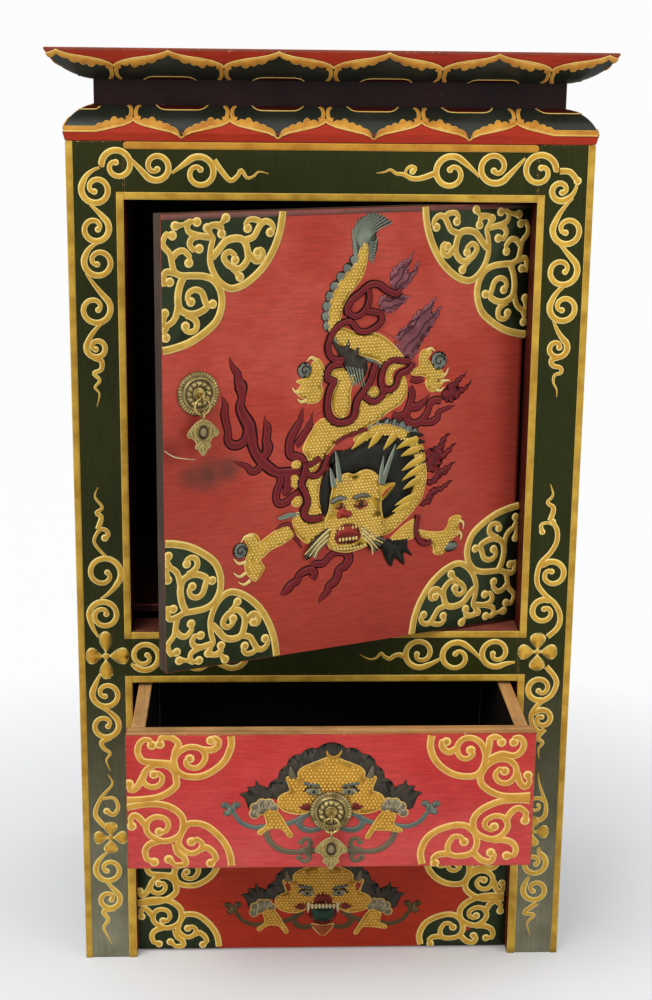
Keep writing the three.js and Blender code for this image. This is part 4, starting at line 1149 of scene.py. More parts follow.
rows = node(bead_tree, "ShaderNodeMath", {0: sizes.outputs["Y"], 1: row_pitch}, operation="DIVIDE")
columns = node(bead_tree, "ShaderNodeMath", {0: columns, 1: 2.0}, operation="ADD")
rows = node(bead_tree, "ShaderNodeMath", {0: rows, 1: 2.0}, operation="ADD")
columns = node(bead_tree, "ShaderNodeMath", {0: columns}, operation="FLOOR")
rows = node(bead_tree, "ShaderNodeMath", {0: rows}, operation="FLOOR")
wide = node(bead_tree, "ShaderNodeMath", {0: columns, 1: given.outputs["Pitch"]}, operation="MULTIPLY")
tall = node(bead_tree, "ShaderNodeMath", {0: rows, 1: row_pitch}, operation="MULTIPLY")
dots = node(bead_tree, "GeometryNodeMeshGrid",
            {"Size X": wide, "Size Y": tall, "Vertices X": columns, "Vertices Y": rows})
row = node(bead_tree, "ShaderNodeMath", {0: node(bead_tree, "GeometryNodeInputIndex"), 1: rows},
           operation="MODULO")
odd = node(bead_tree, "ShaderNodeMath", {0: row, 1: 2.0}, operation="MODULO")
shift = node(bead_tree, "ShaderNodeMath", {0: odd, 1: given.outputs["Pitch"]}, operation="MULTIPLY")
shift = node(bead_tree, "ShaderNodeMath", {0: shift, 1: 0.5}, operation="MULTIPLY")
shift = node(bead_tree, "ShaderNodeCombineXYZ", {"X": shift})
waver = node(bead_tree, "FunctionNodeRandomValue", {"Seed": given.outputs["Seed"]}, data_type="FLOAT_VECTOR")
waver.inputs[0].default_value = (-0.25, -0.25, 0.0)
waver.inputs[1].default_value = (0.25, 0.25, 0.0)
shift = node(bead_tree, "ShaderNodeVectorMath", {0: shift, 1: waver}, operation="ADD")
shift = node(bead_tree, "ShaderNodeVectorMath", {0: shift, 1: middle}, operation="ADD")
dots = node(bead_tree, "GeometryNodeSetPosition", {"Geometry": dots, "Offset": shift})
depth = node(bead_tree, "GeometryNodeInputNamedAttribute", {"Name": "across"}, data_type="FLOAT")
drop = node(bead_tree, "GeometryNodeRaycast",
            {"Target Geometry": given, "Attribute": depth, "Ray Direction": (0.0, 0.0, -1.0),
             "Ray Length": 60.0}, data_type="FLOAT")
outside = node(bead_tree, "FunctionNodeCompare", {0: drop.outputs["Attribute"], 1: given.outputs["Margin"]},
               operation="GREATER_THAN")
missed = node(bead_tree, "FunctionNodeBooleanMath", {0: drop.outputs["Is Hit"]}, operation="NOT")
dropped = node(bead_tree, "FunctionNodeBooleanMath", {0: missed, 1: outside}, operation="OR")
dots = node(bead_tree, "GeometryNodeDeleteGeometry", {"Geometry": dots, "Selection": dropped})
dots = node(bead_tree, "GeometryNodeSetPosition", {"Geometry": dots,
                                                   "Position": drop.outputs["Hit Position"]})
bead = node(bead_tree, "GeometryNodeMeshIcoSphere", {"Radius": 1.0, "Subdivisions": 1})
bead_flat = node(bead_tree, "ShaderNodeVectorMath",
                 {0: node(bead_tree, "GeometryNodeInputPosition"), 1: (1.0, 1.0, 0.0)},
                 operation="MULTIPLY")
bead_across = node(bead_tree, "ShaderNodeVectorMath", {0: bead_flat}, operation="LENGTH")
bead = node(bead_tree, "GeometryNodeStoreNamedAttribute",
            {"Geometry": bead, "Name": "across", "Value": bead_across.outputs["Value"]},
            data_type="FLOAT")
uneven = node(bead_tree, "FunctionNodeRandomValue", {"Seed": given.outputs["Seed"]}, data_type="FLOAT")
uneven.inputs[2].default_value = 0.85
uneven.inputs[3].default_value = 1.12
bead_size = node(bead_tree, "ShaderNodeMath", {0: uneven.outputs[1], 1: given.outputs["Size"]},
                 operation="MULTIPLY")
bead_scale = node(bead_tree, "ShaderNodeVectorMath", {0: (1.0, 1.0, 0.7), "Scale": bead_size},
                  operation="SCALE")
beads = node(bead_tree, "GeometryNodeInstanceOnPoints",
             {"Points": dots, "Instance": bead, "Scale": bead_scale})
beads = node(bead_tree, "GeometryNodeRealizeInstances", {"Geometry": beads})
beads = node(bead_tree, "GeometryNodeSetMaterial", {"Geometry": beads, "Material": given.outputs["Finish"]})
bead_tree.links.new(beads.outputs[0], result.inputs[0])

# The colours of the masks and the dragon, each a distemper over gesso with a body colour, a lighter line
# along its sides, a deeper tone in patches and a dark outline, so that every part looks drawn by a brush
mask_gold = gilt("ochre_distemper_mask", "#ba8a30", "#dcb254", "#a87a2a", 0.7, "#5a3c14")
# The mask's beads are paler in the middle than round it: a painted highlight on the top of each bead
mask_bead_gold = gilt("ochre_distemper_mask_beads_painted_highlight", "#e2b858", "#bf9138", "#d2a548", 0.5, "#8a6a20")
lamp_black = gilt("lampblack_distemper", "#201f19", "#38362d", "#14140f", 0.66, "#0d0d0b", 0.85)
hair_brown = gilt("umber_black_distemper_hair", "#3b352b", "#433d32", "#302b24", 0.6, "#12100c", 0.8, 0.95)
arm_grey = gilt("blue_grey_distemper", "#5b625a", "#78806f", "#4c534c", 0.55, "#23221d", 0.8)
brown_vine = gilt("umber_distemper", "#695d49", "#80735a", "#584c3a", 0.6, "#2c2214", 0.8)
olive_vine = gilt("olive_brown_distemper", "#524027", "#6a5634", "#40321e", 0.55, "#1c150c", 0.8)
cuff_olive = gilt("grey_olive_distemper", "#716650", "#9a8f72", "#5f5643", 0.6, "#2a241a", 0.86)
chin_orange = gilt("burnt_ochre_distemper", "#94482a", "#a85c34", "#7c361f", 0.6, "#3c0f0b")
dark_teal = gilt("dark_green_distemper_tongue", "#26402f", "#3d5a45", "#1c3024", 0.6, "#0f1a12", 0.86)
eye_stone = gilt("stone_grey_distemper", "#948a6e", "#a0937a", "#80765c", 0.4, "#241a12", 0.7, 1.0)
iris_grey = gilt("grey_olive_distemper_eye", "#6d6a50", "#8a866a", "#57543f", 0.3, "#26231a", 0.7, 1.0)
blood_red = gilt("dark_red_distemper", "#6b1a18", "#8c2b22", "#571312", 0.6, "#2a0807")
nose_red = gilt("dark_red_distemper_nose", "#73251f", "#96453a", "#5e1c18", 0.6, "#2a0807")
bone_white = gilt("bone_white_distemper", "#d0c290", "#e6dcb4", "#b8a878", 0.6, "#5d4b2a")
pale_red = gilt("vermilion_distemper", "#983428", "#bf5a44", "#802820", 0.6, "#3c0f0b")


def skin(outlines, ground_finish, bead_finish, lift=0.0, pitch=2.45, size=0.92, seed=3):
    # Raised skin: a rounded patch, a pale line round it and beads over it
    ground = patches(outlines, ground_finish, 0.9, 2.0, 1.4, 1.3, 2)
    pencil = bpy.data.objects.new("skin", ground.copy())
    beads = worked(bead_tree, pencil, Pitch=pitch, Size=size, Margin=0.35, Seed=seed, Finish=bead_finish)
    edges = lines([even(outline, 0.5) for outline in outlines], pale_line, 1.4, closed=True)
    return raised(joined([ground, beads, edges]), lift)


def mirrored(points):
    return [(-u, v) for u, v in points]


def both_sides(shapes):
    return shapes + [mirrored(shape) for shape in shapes]


def mask_parts(arm_finish, low_arms):
    # The mask about x = 0, at the height it has on the drawer
    hair = [ring((0, 204), 12, 10.8)]
    hair += both_sides([ring((-13, 201.5), 9.3), ring((-21.5, 197), 9.3), ring((-27.5, 189.5), 9),
                        ring((-29.5, 182), 8), ring((-35.5, 180.5), 8)])
    tufts = both_sides([
        [(-45.3, 182.6), (-49, 184), (-51.5, 187.6), (-52.4, 183), (-57.8, 182.6), (-56.6, 179.5),
         (-62.8, 177.3), (-59.6, 174.5), (-58, 170.5), (-55.7, 165.5), (-49, 166), (-42, 171), (-40, 178)]])
    arms = [[(-14.8, 162.5), (-19, 160.3), (-25, 156.6), (-33, 154.2), (-41, 153.4), (-48, 152.6),
             (-53.5, 152.4), (-61.4, 155.9), (-66, 162), (-68.5, 165)]]
    curls = [[(-19, 160), (-21.8, 157), (-20.6, 152.6), (-15.8, 150), (-10, 150.4), (-6, 152)]]
    trefoils = [ring((-72.6, 169), 2.9, 2.5), ring((-64.8, 169.2), 3, 2.5), ring((-71, 163.4), 2.7),
                ring((-68.4, 166), 3.2)]
    under = [[(-44.3, 149.5), (-42.7, 143), (-36.5, 136.6), (-29.3, 133.9), (-21, 133.9), (-10, 134.6)]]
    low_curls = [[(-21, 135), (-16, 136.4), (-13.8, 139.6), (-15, 143), (-18.4, 143.6), (-20.2, 141)],
                 [(-21, 134), (-16.8, 132.8), (-14.4, 129.8), (-16.2, 127), (-20, 127), (-21.6, 129.4)]]
    low_leaf = [(-24, 134), (-19, 131.6), (-12, 132.4), (-7.6, 134.6), (-12, 137), (-19, 137)]
    face = [(0, 204.4), (-9.6, 201.1), (-14.8, 199), (-20, 196.4), (-22.8, 192.8), (-22.6, 188.8),
            (-26, 189.6), (-30.6, 189.4), (-29.3, 184.3), (-28.3, 179.4), (-32.6, 177.4), (-35.8, 174.6),
            (-36.3, 170.6), (-33.6, 165.8), (-27.2, 163), (-19, 162.4), (-13, 165), (0, 168)]
    face += [(-u, v) for u, v in face[-2:0:-1]]
    spikes = both_sides([[(-24, 189.4), (-27.8, 197.6), (-29.2, 193.6), (-28.6, 188.6), (-26, 186.6)]])
    crescent = [(-3.6, 209.5), (-3.4, 205.4), (1.2, 202.6), (6, 205.2), (6.9, 209.5), (4, 206.2),
                (1.4, 205.2), (-1.4, 206.2)]
    hands = [[(-45.7, 164.3), (-39.3, 166.1), (-33.6, 159.7), (-30.7, 154), (-26.4, 146.9), (-28.6, 145.1),
              (-33.6, 151.1), (-40, 151.9), (-44.3, 150.4), (-48.6, 147.1), (-50, 149.7), (-44.3, 154.6)],
             [(34.3, 162.1), (39.3, 164.6), (44.3, 161.1), (43.4, 154), (48.6, 150.7), (48.4, 148.4),
              (40.7, 149.4), (30.7, 149.7), (26.6, 144), (24, 144.6), (27.1, 150.7), (30.7, 156.9)]]
    cuffs = [ring((-52.4, 162.8), 3.4), ring((-51.6, 167.2), 3.5), ring((-47.4, 170), 3.5),
             ring((-42.6, 170), 3.4), ring((-39.4, 167), 3), ring((-46.4, 165.6), 5.4, 3.2, turn=0.3),
             ring((36.4, 167), 3), ring((39.4, 170.2), 3.4), ring((44, 170), 3.4), ring((48.2, 167.2), 3.3),
             ring((49.8, 162.8), 3.1), ring((43.4, 165.6), 5.4, 3.2, turn=-0.3)]
    brows = both_sides([[(-18.6, 184.2), (-18.8, 186.4), (-14.5, 186), (-9.5, 185), (-6.4, 181.8),
                         (-9.5, 182.6), (-14, 183.4)]])
    eyes = both_sides([[(-17.6, 179.6), (-15, 182.2), (-11.6, 182.7), (-8.2, 181), (-6.4, 178.2),
                        (-9.6, 176.8), (-13.4, 176.6)]])
    nose = [(-7.2, 172.8), (-5.5, 177), (-2.5, 179.4), (2.5, 179.4), (5.5, 177), (7.2, 172.8), (3, 171.6),
            (-3, 171.6)]
    throat = [(-13, 171), (-11.6, 164), (-8, 156), (0, 152), (8, 156), (11.6, 164), (13, 171), (0, 171.5)]
    fangs = both_sides([[(-12.6, 170.6), (-9.6, 170.4), (-11.4, 162.4)]])
    tongue = [(-7.4, 166.2), (-7.6, 159), (-4.4, 156.2), (0, 155.4), (4.4, 156.2), (7.6, 159), (7.4, 166.2)]
    nostrils = [[(-21.8, 168.6), (-20.4, 166.4), (-16, 165.8), (-13.6, 168), (-15.6, 171), (-18, 170.4)]]
    parts = [
        patches(tufts + hair, hair_brown, 0.5, 0.7, 1.5, 1.4),
        lines([vine(points, 2.1) for points in both_sides(arms)], arm_finish),
        lines([vine(points, 2.5) for points in both_sides(curls)], arm_finish, 0.7, 1.2),
        patches(both_sides(trefoils), arm_finish, 0.6, 1.4, 1.4, 1.0, lift=0.1),
        skin([face] + hands, mask_gold, mask_bead_gold, 0.5, 2.6, 1.2),
        patches(spikes, cuff_olive, 0.7, 1.2, 1.0, 1.0, lift=1.0),
        patches([crescent], mask_gold, 0.7, 1.2, 1.0, 1.0, lift=1.0),
        lines([even(lobe, 0.6) for lobe in cuffs], pale_line, 1.0, lift=0.35, closed=True),
        patches(cuffs, cuff_olive, 0.8, 2.0, 1.4, 1.0, lift=0.6),
        patches(eyes, eye_stone, 0.6, 1.4, 0.7, 0.8, lift=2.0),
        patches(both_sides([ring((-12, 179.6), 2.8)]), iris_grey, 0.5, 1.2, 0.7, 0.7, lift=2.5),
        patches(both_sides([ring((-12, 179.6), 1.2)]), lamp_black, 0.4, 0.6, 0.3, 0.5, lift=3.0),
        patches(brows, arm_grey, 0.8, 1.6, 0.8, 0.8, lift=1.9),
        lines([vine(points, 0.7) for points in both_sides([[(-19, 179.4), (-15.4, 183), (-11.4, 183.7),
                                                            (-7.6, 181.6)]])], lamp_black, 0.8, lift=1.9),
        patches([nose], nose_red, 0.9, 2.4, 1.2, 1.0, lift=1.7),
        patches([throat], blood_red, 0.5, 1.6, 1.2, 1.2, lift=1.4),
        patches([ring((x, 168.2), 1.35, 2.2) for x in (-8.2, -5.4, -2.7, 0, 2.7, 5.4, 8.2)] + fangs,
                bone_white, 0.6, 1.0, 0.7, 0.7, lift=1.9),
        patches([tongue], dark_teal, 0.8, 2.4, 1.6, 1.0, lift=1.9),
        patches(both_sides(nostrils), nose_red, 0.8, 1.6, 1.0, 0.8, lift=1.9),
    ]
    if low_arms:
        parts.append(lines([vine(points, 2.3) for points in both_sides(under)], brown_vine))
        parts.append(lines([vine(points, 1.9, 2.4) for points in both_sides(low_curls)],
                           brown_vine, 0.7, 1.0))
        parts.append(patches(both_sides([low_leaf]), brown_vine, 0.6, 1.2, 1.4, 1.0, lift=0.15))
    else:
        chin = [(-8.4, 152.4), (-5, 146.6), (0, 142.8), (5, 146.6), (8.4, 152.4), (0, 151.4)]
        parts.append(skin([chin], chin_orange, chin_orange, 0.3, 2.6, 1.1, 4))
        ears = both_sides([[(-29, 187), (-25.6, 187.6), (-24.8, 183), (-26.6, 181)]])
        parts.append(patches(ears, pale_red, 0.7, 1.2, 0.8, 0.8, lift=1.8))
    return joined(parts)


apron_drop = 130.5
apron_mask = mask_parts(olive_vine, False)
for vertex in apron_mask.vertices:
    vertex.co.y -= apron_drop
show("apron_mask", laid(apron_mask, on_apron), "carcass", "gold_relief")

# The door: one wide board painted brick red, hung on iron pins at its right edge and standing ajar. A
# dragon winds over the middle of it among red flames, with a scrolled green medallion in each corner.
hinge_place = Vector((133.1, -33.825))
ajar = math.radians(24.4)
door_along = Vector((-math.cos(ajar), -math.sin(ajar)))
door_outward = Vector((math.sin(ajar), -math.cos(ajar)))
door_free = 271.9
door_half_thick = 6.0


def on_door(u, v, out):
    spot = hinge_place + door_along * (door_free - u) + door_outward * (door_half_thick + out)
    return Vector((spot.x, spot.y, v)) / 1000


# Brick red in lighter clouds that also paint its sheen, darker low down and at both sides, the darkening at
# the hinge side a painted shadow of the frame, with dark brown patches by the pull; its corners are worn to
# the wood and its narrow sides have a thin brown wash
door_dark_patches = [(tuple(on_door(u, v, 0)), reach, patch_colour, most) for u, v, reach, patch_colour, most in (
    (46, 399, 0.012, "#55382e", 1.7), (31, 396, 0.015, "#55382e", 1.9), (18, 397, 0.012, "#5d3a2e", 1.5),
    (4, 414, 0.013, "#6a2a20", 1.5), (3, 400, 0.075, "#7a2318", 0.7), (275, 430, 0.09, "#7c2519", 0.7))]
door_coat = paint("brick_red_distemper_door", "#a33a2c", "#b14c3e", "#6b2a20", 0.34, (0.12, 0.12, 1), 0.9,
                  0.015, (0.26, 0.45, "#7e2216", 1.0), door_dark_patches)
door_edge = paint("door_edge_rubbed", "#5b3a2b", "#8a6b4c", "#b08a63", 0.6, (1, 1, 0.1), 0.9, 0.12)
door_side = paint("brown_wash_door_side", "#43352a", "#33261e", "#7a6248", 0.6, (1, 1, 0.1), 0.8, 0.06)
board("door_board", door_coat, door_edge, "door", "red_paint", 0.8,
      [((door_along.x, door_along.y, 0), door_side), ((0, 0, 1), door_side), ((0, 0, -1), door_side)])

# The vines of a corner medallion, drawn in mm for the top left corner of the door
medallion_vines = [
    [(85.5, 568), (83.5, 556), (79, 544), (71, 532), (60, 523), (50, 519.5), (43, 522), (37.5, 528),
     (34, 537), (34.5, 546), (36, 552), (32, 559)],
    [(35, 540), (39.2, 544), (44.8, 550), (51.4, 551.7), (57, 550.5), (59.8, 545.5), (60.3, 537.8),
     (54.8, 532.2), (48, 534), (44.2, 537.8), (43.7, 541), (47.5, 543.3), (51.4, 540.6), (51.4, 537.8)],
    [(57, 550), (64, 552), (67, 556), (69.5, 561), (65.9, 563.3), (61.4, 563.3), (59, 560.5), (60.3, 557.8)],
    [(67, 556), (70, 560.5), (73.7, 562), (77.5, 560), (78.7, 556.7), (76.4, 554.7)],
    [(60, 543), (65.9, 536.7), (70.3, 537.8), (71.2, 542.2), (68.7, 544.2), (67.2, 542.2)],
    [(50, 532), (54.8, 526.7)],
    [(32, 559), (35.9, 560.6), (41.4, 561), (45, 565)],
    [(38, 561), (42, 558.5), (42, 555)],
    [(34, 553), (28.1, 554), (23.7, 555), (19.2, 557.2), (17.6, 561.7), (10, 561)],
    [(17.6, 561.7), (21, 563.6), (25, 563)],
    [(26, 554), (22, 553), (19.8, 549.4), (22, 545.6), (26.4, 546)],
    [(0.5, 481.7), (8.1, 482.8), (19.2, 486), (30.3, 492.2), (38, 498.9), (41.4, 506.7), (42, 513.3),
     (40.3, 520), (35.9, 525.6), (29.2, 528.3), (21.4, 529), (13.7, 529.4), (9.2, 532.2), (7.6, 537.8),
     (6.4, 543.3), (2.6, 547.8), (1.6, 551), (3.7, 556), (8.1, 555)],
    [(16, 529), (14.8, 527.2), (12.6, 522.2), (11.4, 514.4), (13, 507.8), (19.2, 504.4), (25.9, 505),
     (31.4, 508.3), (30.3, 512), (28.1, 517.8), (23.7, 520), (19.2, 518.3), (18, 514.4), (20.3, 512.2)],
    [(31, 509), (35.5, 510)],
    [(17, 504), (20.9, 502.2), (24.2, 498.9), (23.7, 494.4), (19.8, 492.8), (15.9, 494.4), (16.4, 496.7)],
    [(12, 513), (9.8, 503.3), (5.9, 498.9), (1.5, 497.8), (2.2, 505.8)],
    [(4, 498.4), (2, 494), (2.8, 490)],
    [(8, 541), (11.4, 544.4), (15.9, 545), (19.8, 541), (19.2, 537.2)],
    [(10, 531), (3.7, 532.2), (1.9, 529), (1.9, 524.3), (5.9, 525.6)],
]
door_top = 568.4
door_bottom = 262.4
door_right = 277.9
medallion_rim = medallion_vines[0][:7] + medallion_vines[11][:9][::-1]
door_strokes = []
door_grounds = []
# The corner of the door that each medallion sits in, and its scale from the one that was drawn
for corner_u, corner_v, scale_u, scale_v in (
        (0.0, door_top, 1.0, -1.0), (door_right, door_top, -1.0, -1.07), (0.0, door_bottom, 0.96, 1.045),
        (door_right, door_bottom, -1.03, 1.0)):
    def moved(points):
        return [(corner_u + u * scale_u, corner_v + (door_top - v) * scale_v) for u, v in points]

    for points in medallion_vines:
        door_strokes.append(vine(moved(points), 2.9 if len(points) > 11 else 2.6, 3.4))
    rim = moved(medallion_rim)
    door_grounds.append([(corner_u, corner_v), (rim[0][0], corner_v)] + rim + [(corner_u, rim[-1][1])])
# The same ochre, paler on the door
door_gold = gilt("ochre_distemper_door", "#c29c42", "#e0c476", "#a98433")
door_ornament = joined([flat_patches(door_grounds, medallion_green),
                        lines(door_strokes, door_gold, 0.62, 1.0, step=1.1)])
show("door_medallions", laid(framed(door_ornament, 0.3, 277.6, 262.7, 568.1), on_door), "door", "gold_relief")

# The colours that only the dragon and the flames have, laid on in the same way
# The dragon's beads are pale in the middle and ochre round it: a painted highlight on the top of each bead
bead_gold = gilt("ochre_distemper_beads_painted_highlight", "#ead48a", "#c9a24e", "#dcbf6c", 0.55, "#8a6a20")
skin_gold = gilt("ochre_distemper_skin", "#bd9634", "#e4cc74", "#a8842c", 0.7, "#4a3210")
celadon = gilt("grey_green_distemper", "#6f7766", "#9aa08c", "#5d6657", 0.55, "#23281f")
eye_brown = gilt("umber_red_distemper_eye", "#a8742f", "#8a4a2c", "#96642a", 0.4, "#3a2014", 0.7, 1.0)
pupil_brown = gilt("dark_umber_distemper_eye", "#4a2c1a", "#5a3a22", "#3a2214", 0.5, "#1a0f0a", 0.8, 1.0)
fin_grey = gilt("grey_distemper_fin", "#73766a", "#85887b", "#5d6055", 0.5, "#14140f", 0.6, 1.0)
plume_dark = gilt("dark_grey_distemper_plume", "#474b42", "#52564b", "#3b3f37", 0.5, "#22241e", 0.8)
claw_gold = gilt("pale_ochre_distemper", "#d6bf72", "#e6d494", "#c2a85c", 0.6, "#5d4b2a")
flame_red = gilt("maroon_distemper_flame", "#6b1b1d", "#782124", "#5c1519", 0.3, "#1c0708", 0.6, 0.95)

# The flames and ribbons, drawn as strokes of u, v and half the width from their tips down
flames = [
    [(47, 475, 0.2), (49.5, 468, 1.7), (53, 463, 2.4), (53.5, 458.5, 2.8), (55.5, 454, 4.2), (56, 447, 2.5),
     (54.8, 441, 3.2), (57, 435, 3.8), (61, 428, 4.4), (62.7, 420, 4.2), (64.5, 412, 3.5), (68, 405.5, 3.6),
     (72, 401, 3.6), (77, 396.5, 3.6), (82, 393.5, 3.2), (88, 393, 3.2), (95, 393, 3.2), (100, 394, 3)],
    [(41.5, 449.5, 0.2), (44, 443, 2), (43.5, 437, 2.6), (44.5, 431, 2.6), (46, 425, 2.4), (46, 419, 2.8),
     (49, 415.5, 3), (54, 415.3, 3), (58.5, 418.5, 3), (60.5, 425, 3.2)],
    [(73, 434, 0.2), (73, 430, 1), (74.5, 426, 2.6), (74.5, 421, 2.8), (74, 416, 3), (75, 411.5, 3.6),
     (73.5, 407, 3.2), (70, 405, 2.6)],
    [(49.5, 404.5, 0.2), (55, 402, 1.3), (60, 399.5, 1.9), (63, 396, 2.3), (67, 396.5, 2.5),
     (70, 399.5, 2.6)],
    [(84.5, 391, 2.6), (84.5, 386, 2.6), (82, 381, 2.6), (81.5, 375, 2.6), (84, 371.3, 2.6), (89, 372, 2.6),
     (94, 375, 2.8), (99, 377.5, 3)],
    [(90, 391, 2.6), (90, 385, 3), (89, 380, 2.8), (86, 378, 1.6)],
    [(97, 392, 3), (94.5, 386, 2), (94.5, 381, 2)],
    [(101.3, 437, 0.2), (100, 432, 1.4), (99, 427.5, 2), (95.5, 422, 2.8), (92, 416, 3), (91, 409.5, 3),
     (92, 404.5, 3), (97, 403, 2.8), (101, 400.5, 2.8), (103, 395, 3), (101, 389, 3), (101, 380, 3.2)],
    [(109, 433, 0.2), (107, 428, 1.4), (106, 423, 2.2), (102, 418.5, 2.2), (99, 414, 2.6), (96, 411, 2.2)],
    [(84.2, 306.7, 0.2), (87.5, 308, 2), (90.8, 310.5, 3.2), (94, 313.5, 2.8), (97.8, 315, 2.6),
     (98.8, 318.5, 2.6), (103.3, 321, 3), (108.5, 321.5, 3), (110.8, 318, 2.8), (108.8, 315, 2.6)],
    [(108, 325, 1.5), (112, 325.5, 2.4), (117, 325, 2.6), (121, 328, 2.4), (125, 331, 2.3), (131, 331.5, 2.4),
     (136, 330, 3), (137.5, 325.5, 3.4), (134.5, 321, 3), (130, 319, 2.8), (129, 314.5, 3), (126.5, 310.5, 3),
     (122.5, 308, 2.8), (121, 304, 2.4), (117, 300.5, 1.8), (114.2, 296.3, 0.2)],
    [(101, 338, 0.4), (96, 347, 1.8), (92, 355, 2), (84, 354.5, 1.6), (79, 347, 0.4)],
    [(209, 433, 2.6), (204, 433.5, 2.6), (200, 431.5, 2.6), (199, 427.5, 2.4), (196.5, 423, 2.6),
     (193, 419.5, 2.8), (188, 418, 2.8), (183, 420, 2.8), (181, 425, 2.8), (184, 430, 2.8), (190, 430, 2.8),
     (195, 433, 2), (199.8, 438.3, 0.2)],
    [(193, 419, 2.4), (198, 418, 2.4), (203, 418.5, 2.6), (206.5, 421, 2.4), (207, 424.5, 2), (211, 426, 1.6),
     (216, 427.5, 1.3), (221, 428.6, 0.2)],
    [(183, 444, 2.6), (185.5, 439, 2.6), (184, 433, 2.6), (182, 428, 2.6)],
    [(170, 426, 2.2), (175, 424.5, 2.2), (180, 426, 2.2), (183, 430, 2.2)],
    [(184, 450, 2), (189, 448.5, 2), (194, 449.5, 2)],
]
flame_areas = [
    [(230, 452), (226, 449.8), (221, 448), (219.5, 445.5), (215, 444.5), (211.5, 441), (209, 438),
     (209.5, 434.5), (212.5, 431.5), (217, 430.3), (222, 432.5), (226, 436.5), (230, 439), (232.5, 443),
     (234, 446.2), (230.5, 443), (226.5, 440.8), (222.5, 442), (224, 445), (227, 448.2)],
    [(196, 386), (196, 394), (199, 398.5), (204, 400), (208, 401), (209, 404.5), (213, 408), (217.5, 409.2),
     (214.5, 405), (213, 400.5), (211.5, 396), (214, 397), (218, 399.5), (222.5, 402), (219, 396.5),
     (215, 392), (211.5, 389), (209.5, 384), (205, 381), (200, 382)],
    [(199, 372.5), (199, 376), (204, 377.5), (206, 381), (209, 382.5), (213, 385), (217, 386), (222.5, 388.2),
     (219, 384), (216, 379.5), (211, 377.5), (208, 374.5), (203, 372)],
    [(193, 358), (196, 361), (199, 363.5), (201, 368), (204, 370.5), (208, 370.5), (212, 371), (216, 373.5),
     (220.5, 374.8), (217, 371), (213, 367.5), (208, 366), (205, 364), (203, 359), (198, 357.5)],
]


def flickered(outline, flick):
    """The outline with a lick of that many mm on every longer edge, as flames are painted."""
    around = list(zip(outline, outline[1:] + outline[:1]))
    turn = math.copysign(1, sum(a[0] * b[1] - b[0] * a[1] for a, b in around))
    edge = []
    for a, b in around:
        along = (b[0] - a[0], b[1] - a[1])
        reach = math.hypot(*along)
        edge.append(a)
        if reach > 4 * flick:
            for share, out in ((0.3, 1), (0.62, -0.5)):
                side = turn * out * flick / reach
                edge.append((a[0] + share * along[0] + side * along[1],
                             a[1] + share * along[1] - side * along[0]))
    return edge


def wavy(start, end, half, sway=0.8, waves=2):
    """A waving brush line from start to end."""
    along = (end[0] - start[0], end[1] - start[1])
    reach = math.hypot(*along)
    steps = 6 * waves
    points = []
    for i in range(steps + 1):
        share = i / steps
        side = sway * math.sin(2 * math.pi * waves * share) / reach
        points.append((start[0] + share * along[0] - side * along[1],
                       start[1] + share * along[1] + side * along[0], half))
    return points


ribbons = [
    even([(103, 398), (102, 391), (99.5, 384), (103, 377), (104.5, 370), (101.5, 364), (104, 359.5),
          (110, 358), (116, 359)], 2.8),
    even([(103, 396), (109, 398), (114, 401)], 2.2),
    even([(104, 391), (110, 388.5), (115, 391), (118, 397), (120, 402)], 2.3),
    even([(125, 410), (133, 414), (141, 416), (150, 418)], 1.3),
    even([(130, 464.5), (123, 464), (119, 460), (119, 455), (124, 453), (121, 448), (119.5, 442), (119, 434),
          (121, 428), (126, 424.5), (131, 424), (137, 425), (140, 429), (141, 436), (143, 440), (148, 446),
          (152, 452), (154, 458), (156, 463)], 2.7),
    even([(147, 441), (151, 438), (155, 436.5), (159, 438), (162, 442), (160, 450), (161, 457), (164, 462),
          (170, 464.5), (176, 463.5), (182, 463)], 2.4),
    even([(163, 444), (168, 444), (172, 447), (173.5, 452), (176, 455), (182, 457), (185, 462)], 2.4),
    even([(131, 467.5), (125, 467.8), (120.6, 470.5), (118.8, 476.4), (120.4, 482.2), (123.6, 487.9),
          (129.4, 492.1), (135.4, 493), (139, 489.6), (142, 486.4), (148, 485.4), (155, 488), (159.5, 492),
          (158.6, 497), (153, 498.5), (148, 499.5)], 2.4),
    even([(134, 498), (133, 502), (137, 508), (143, 512), (150, 517), (157, 517), (163, 513), (170, 510),
          (174, 512)], 2.7),
    even([(133.6, 501), (136, 497.4), (141, 496.4), (145.6, 499), (148.6, 503), (149.8, 508), (149.4, 514)],
         2.3),
]
smoky_flames = [
    [(172, 509), (168, 512), (166, 517), (166, 522), (168, 527), (172, 530), (177, 533), (180, 533),
     (184.5, 539), (183, 533), (180.5, 528), (181, 523), (184, 525), (187, 531), (189, 531), (188, 525),
     (184, 519), (180, 515), (175, 511)],
    [(157, 503), (158, 508), (162, 510), (168, 507), (174, 508.5), (182, 508.5), (179, 504), (174, 501),
     (170, 497.5), (165, 496.5), (160, 499)],
    [(176, 465), (172, 472), (170.5, 479), (174, 484), (179, 487.5), (183, 487), (184, 492), (188, 497),
     (193, 499), (198, 503), (203.5, 506.5), (201, 500), (199.5, 495), (203, 497), (207.5, 500), (206, 494),
     (202, 488), (198, 482), (193, 476), (190, 470), (186, 464)],
]
smoke = gilt("smoky_plum_distemper", "#7c454a", "#8b5558", "#683a40", 0.4, "#341a20", 0.76, 0.9)
smoke_shade = gilt("dark_plum_distemper_lines", "#40202a", "#4c2833", "#331820", 0.5, "#1e0c12", 0.8)
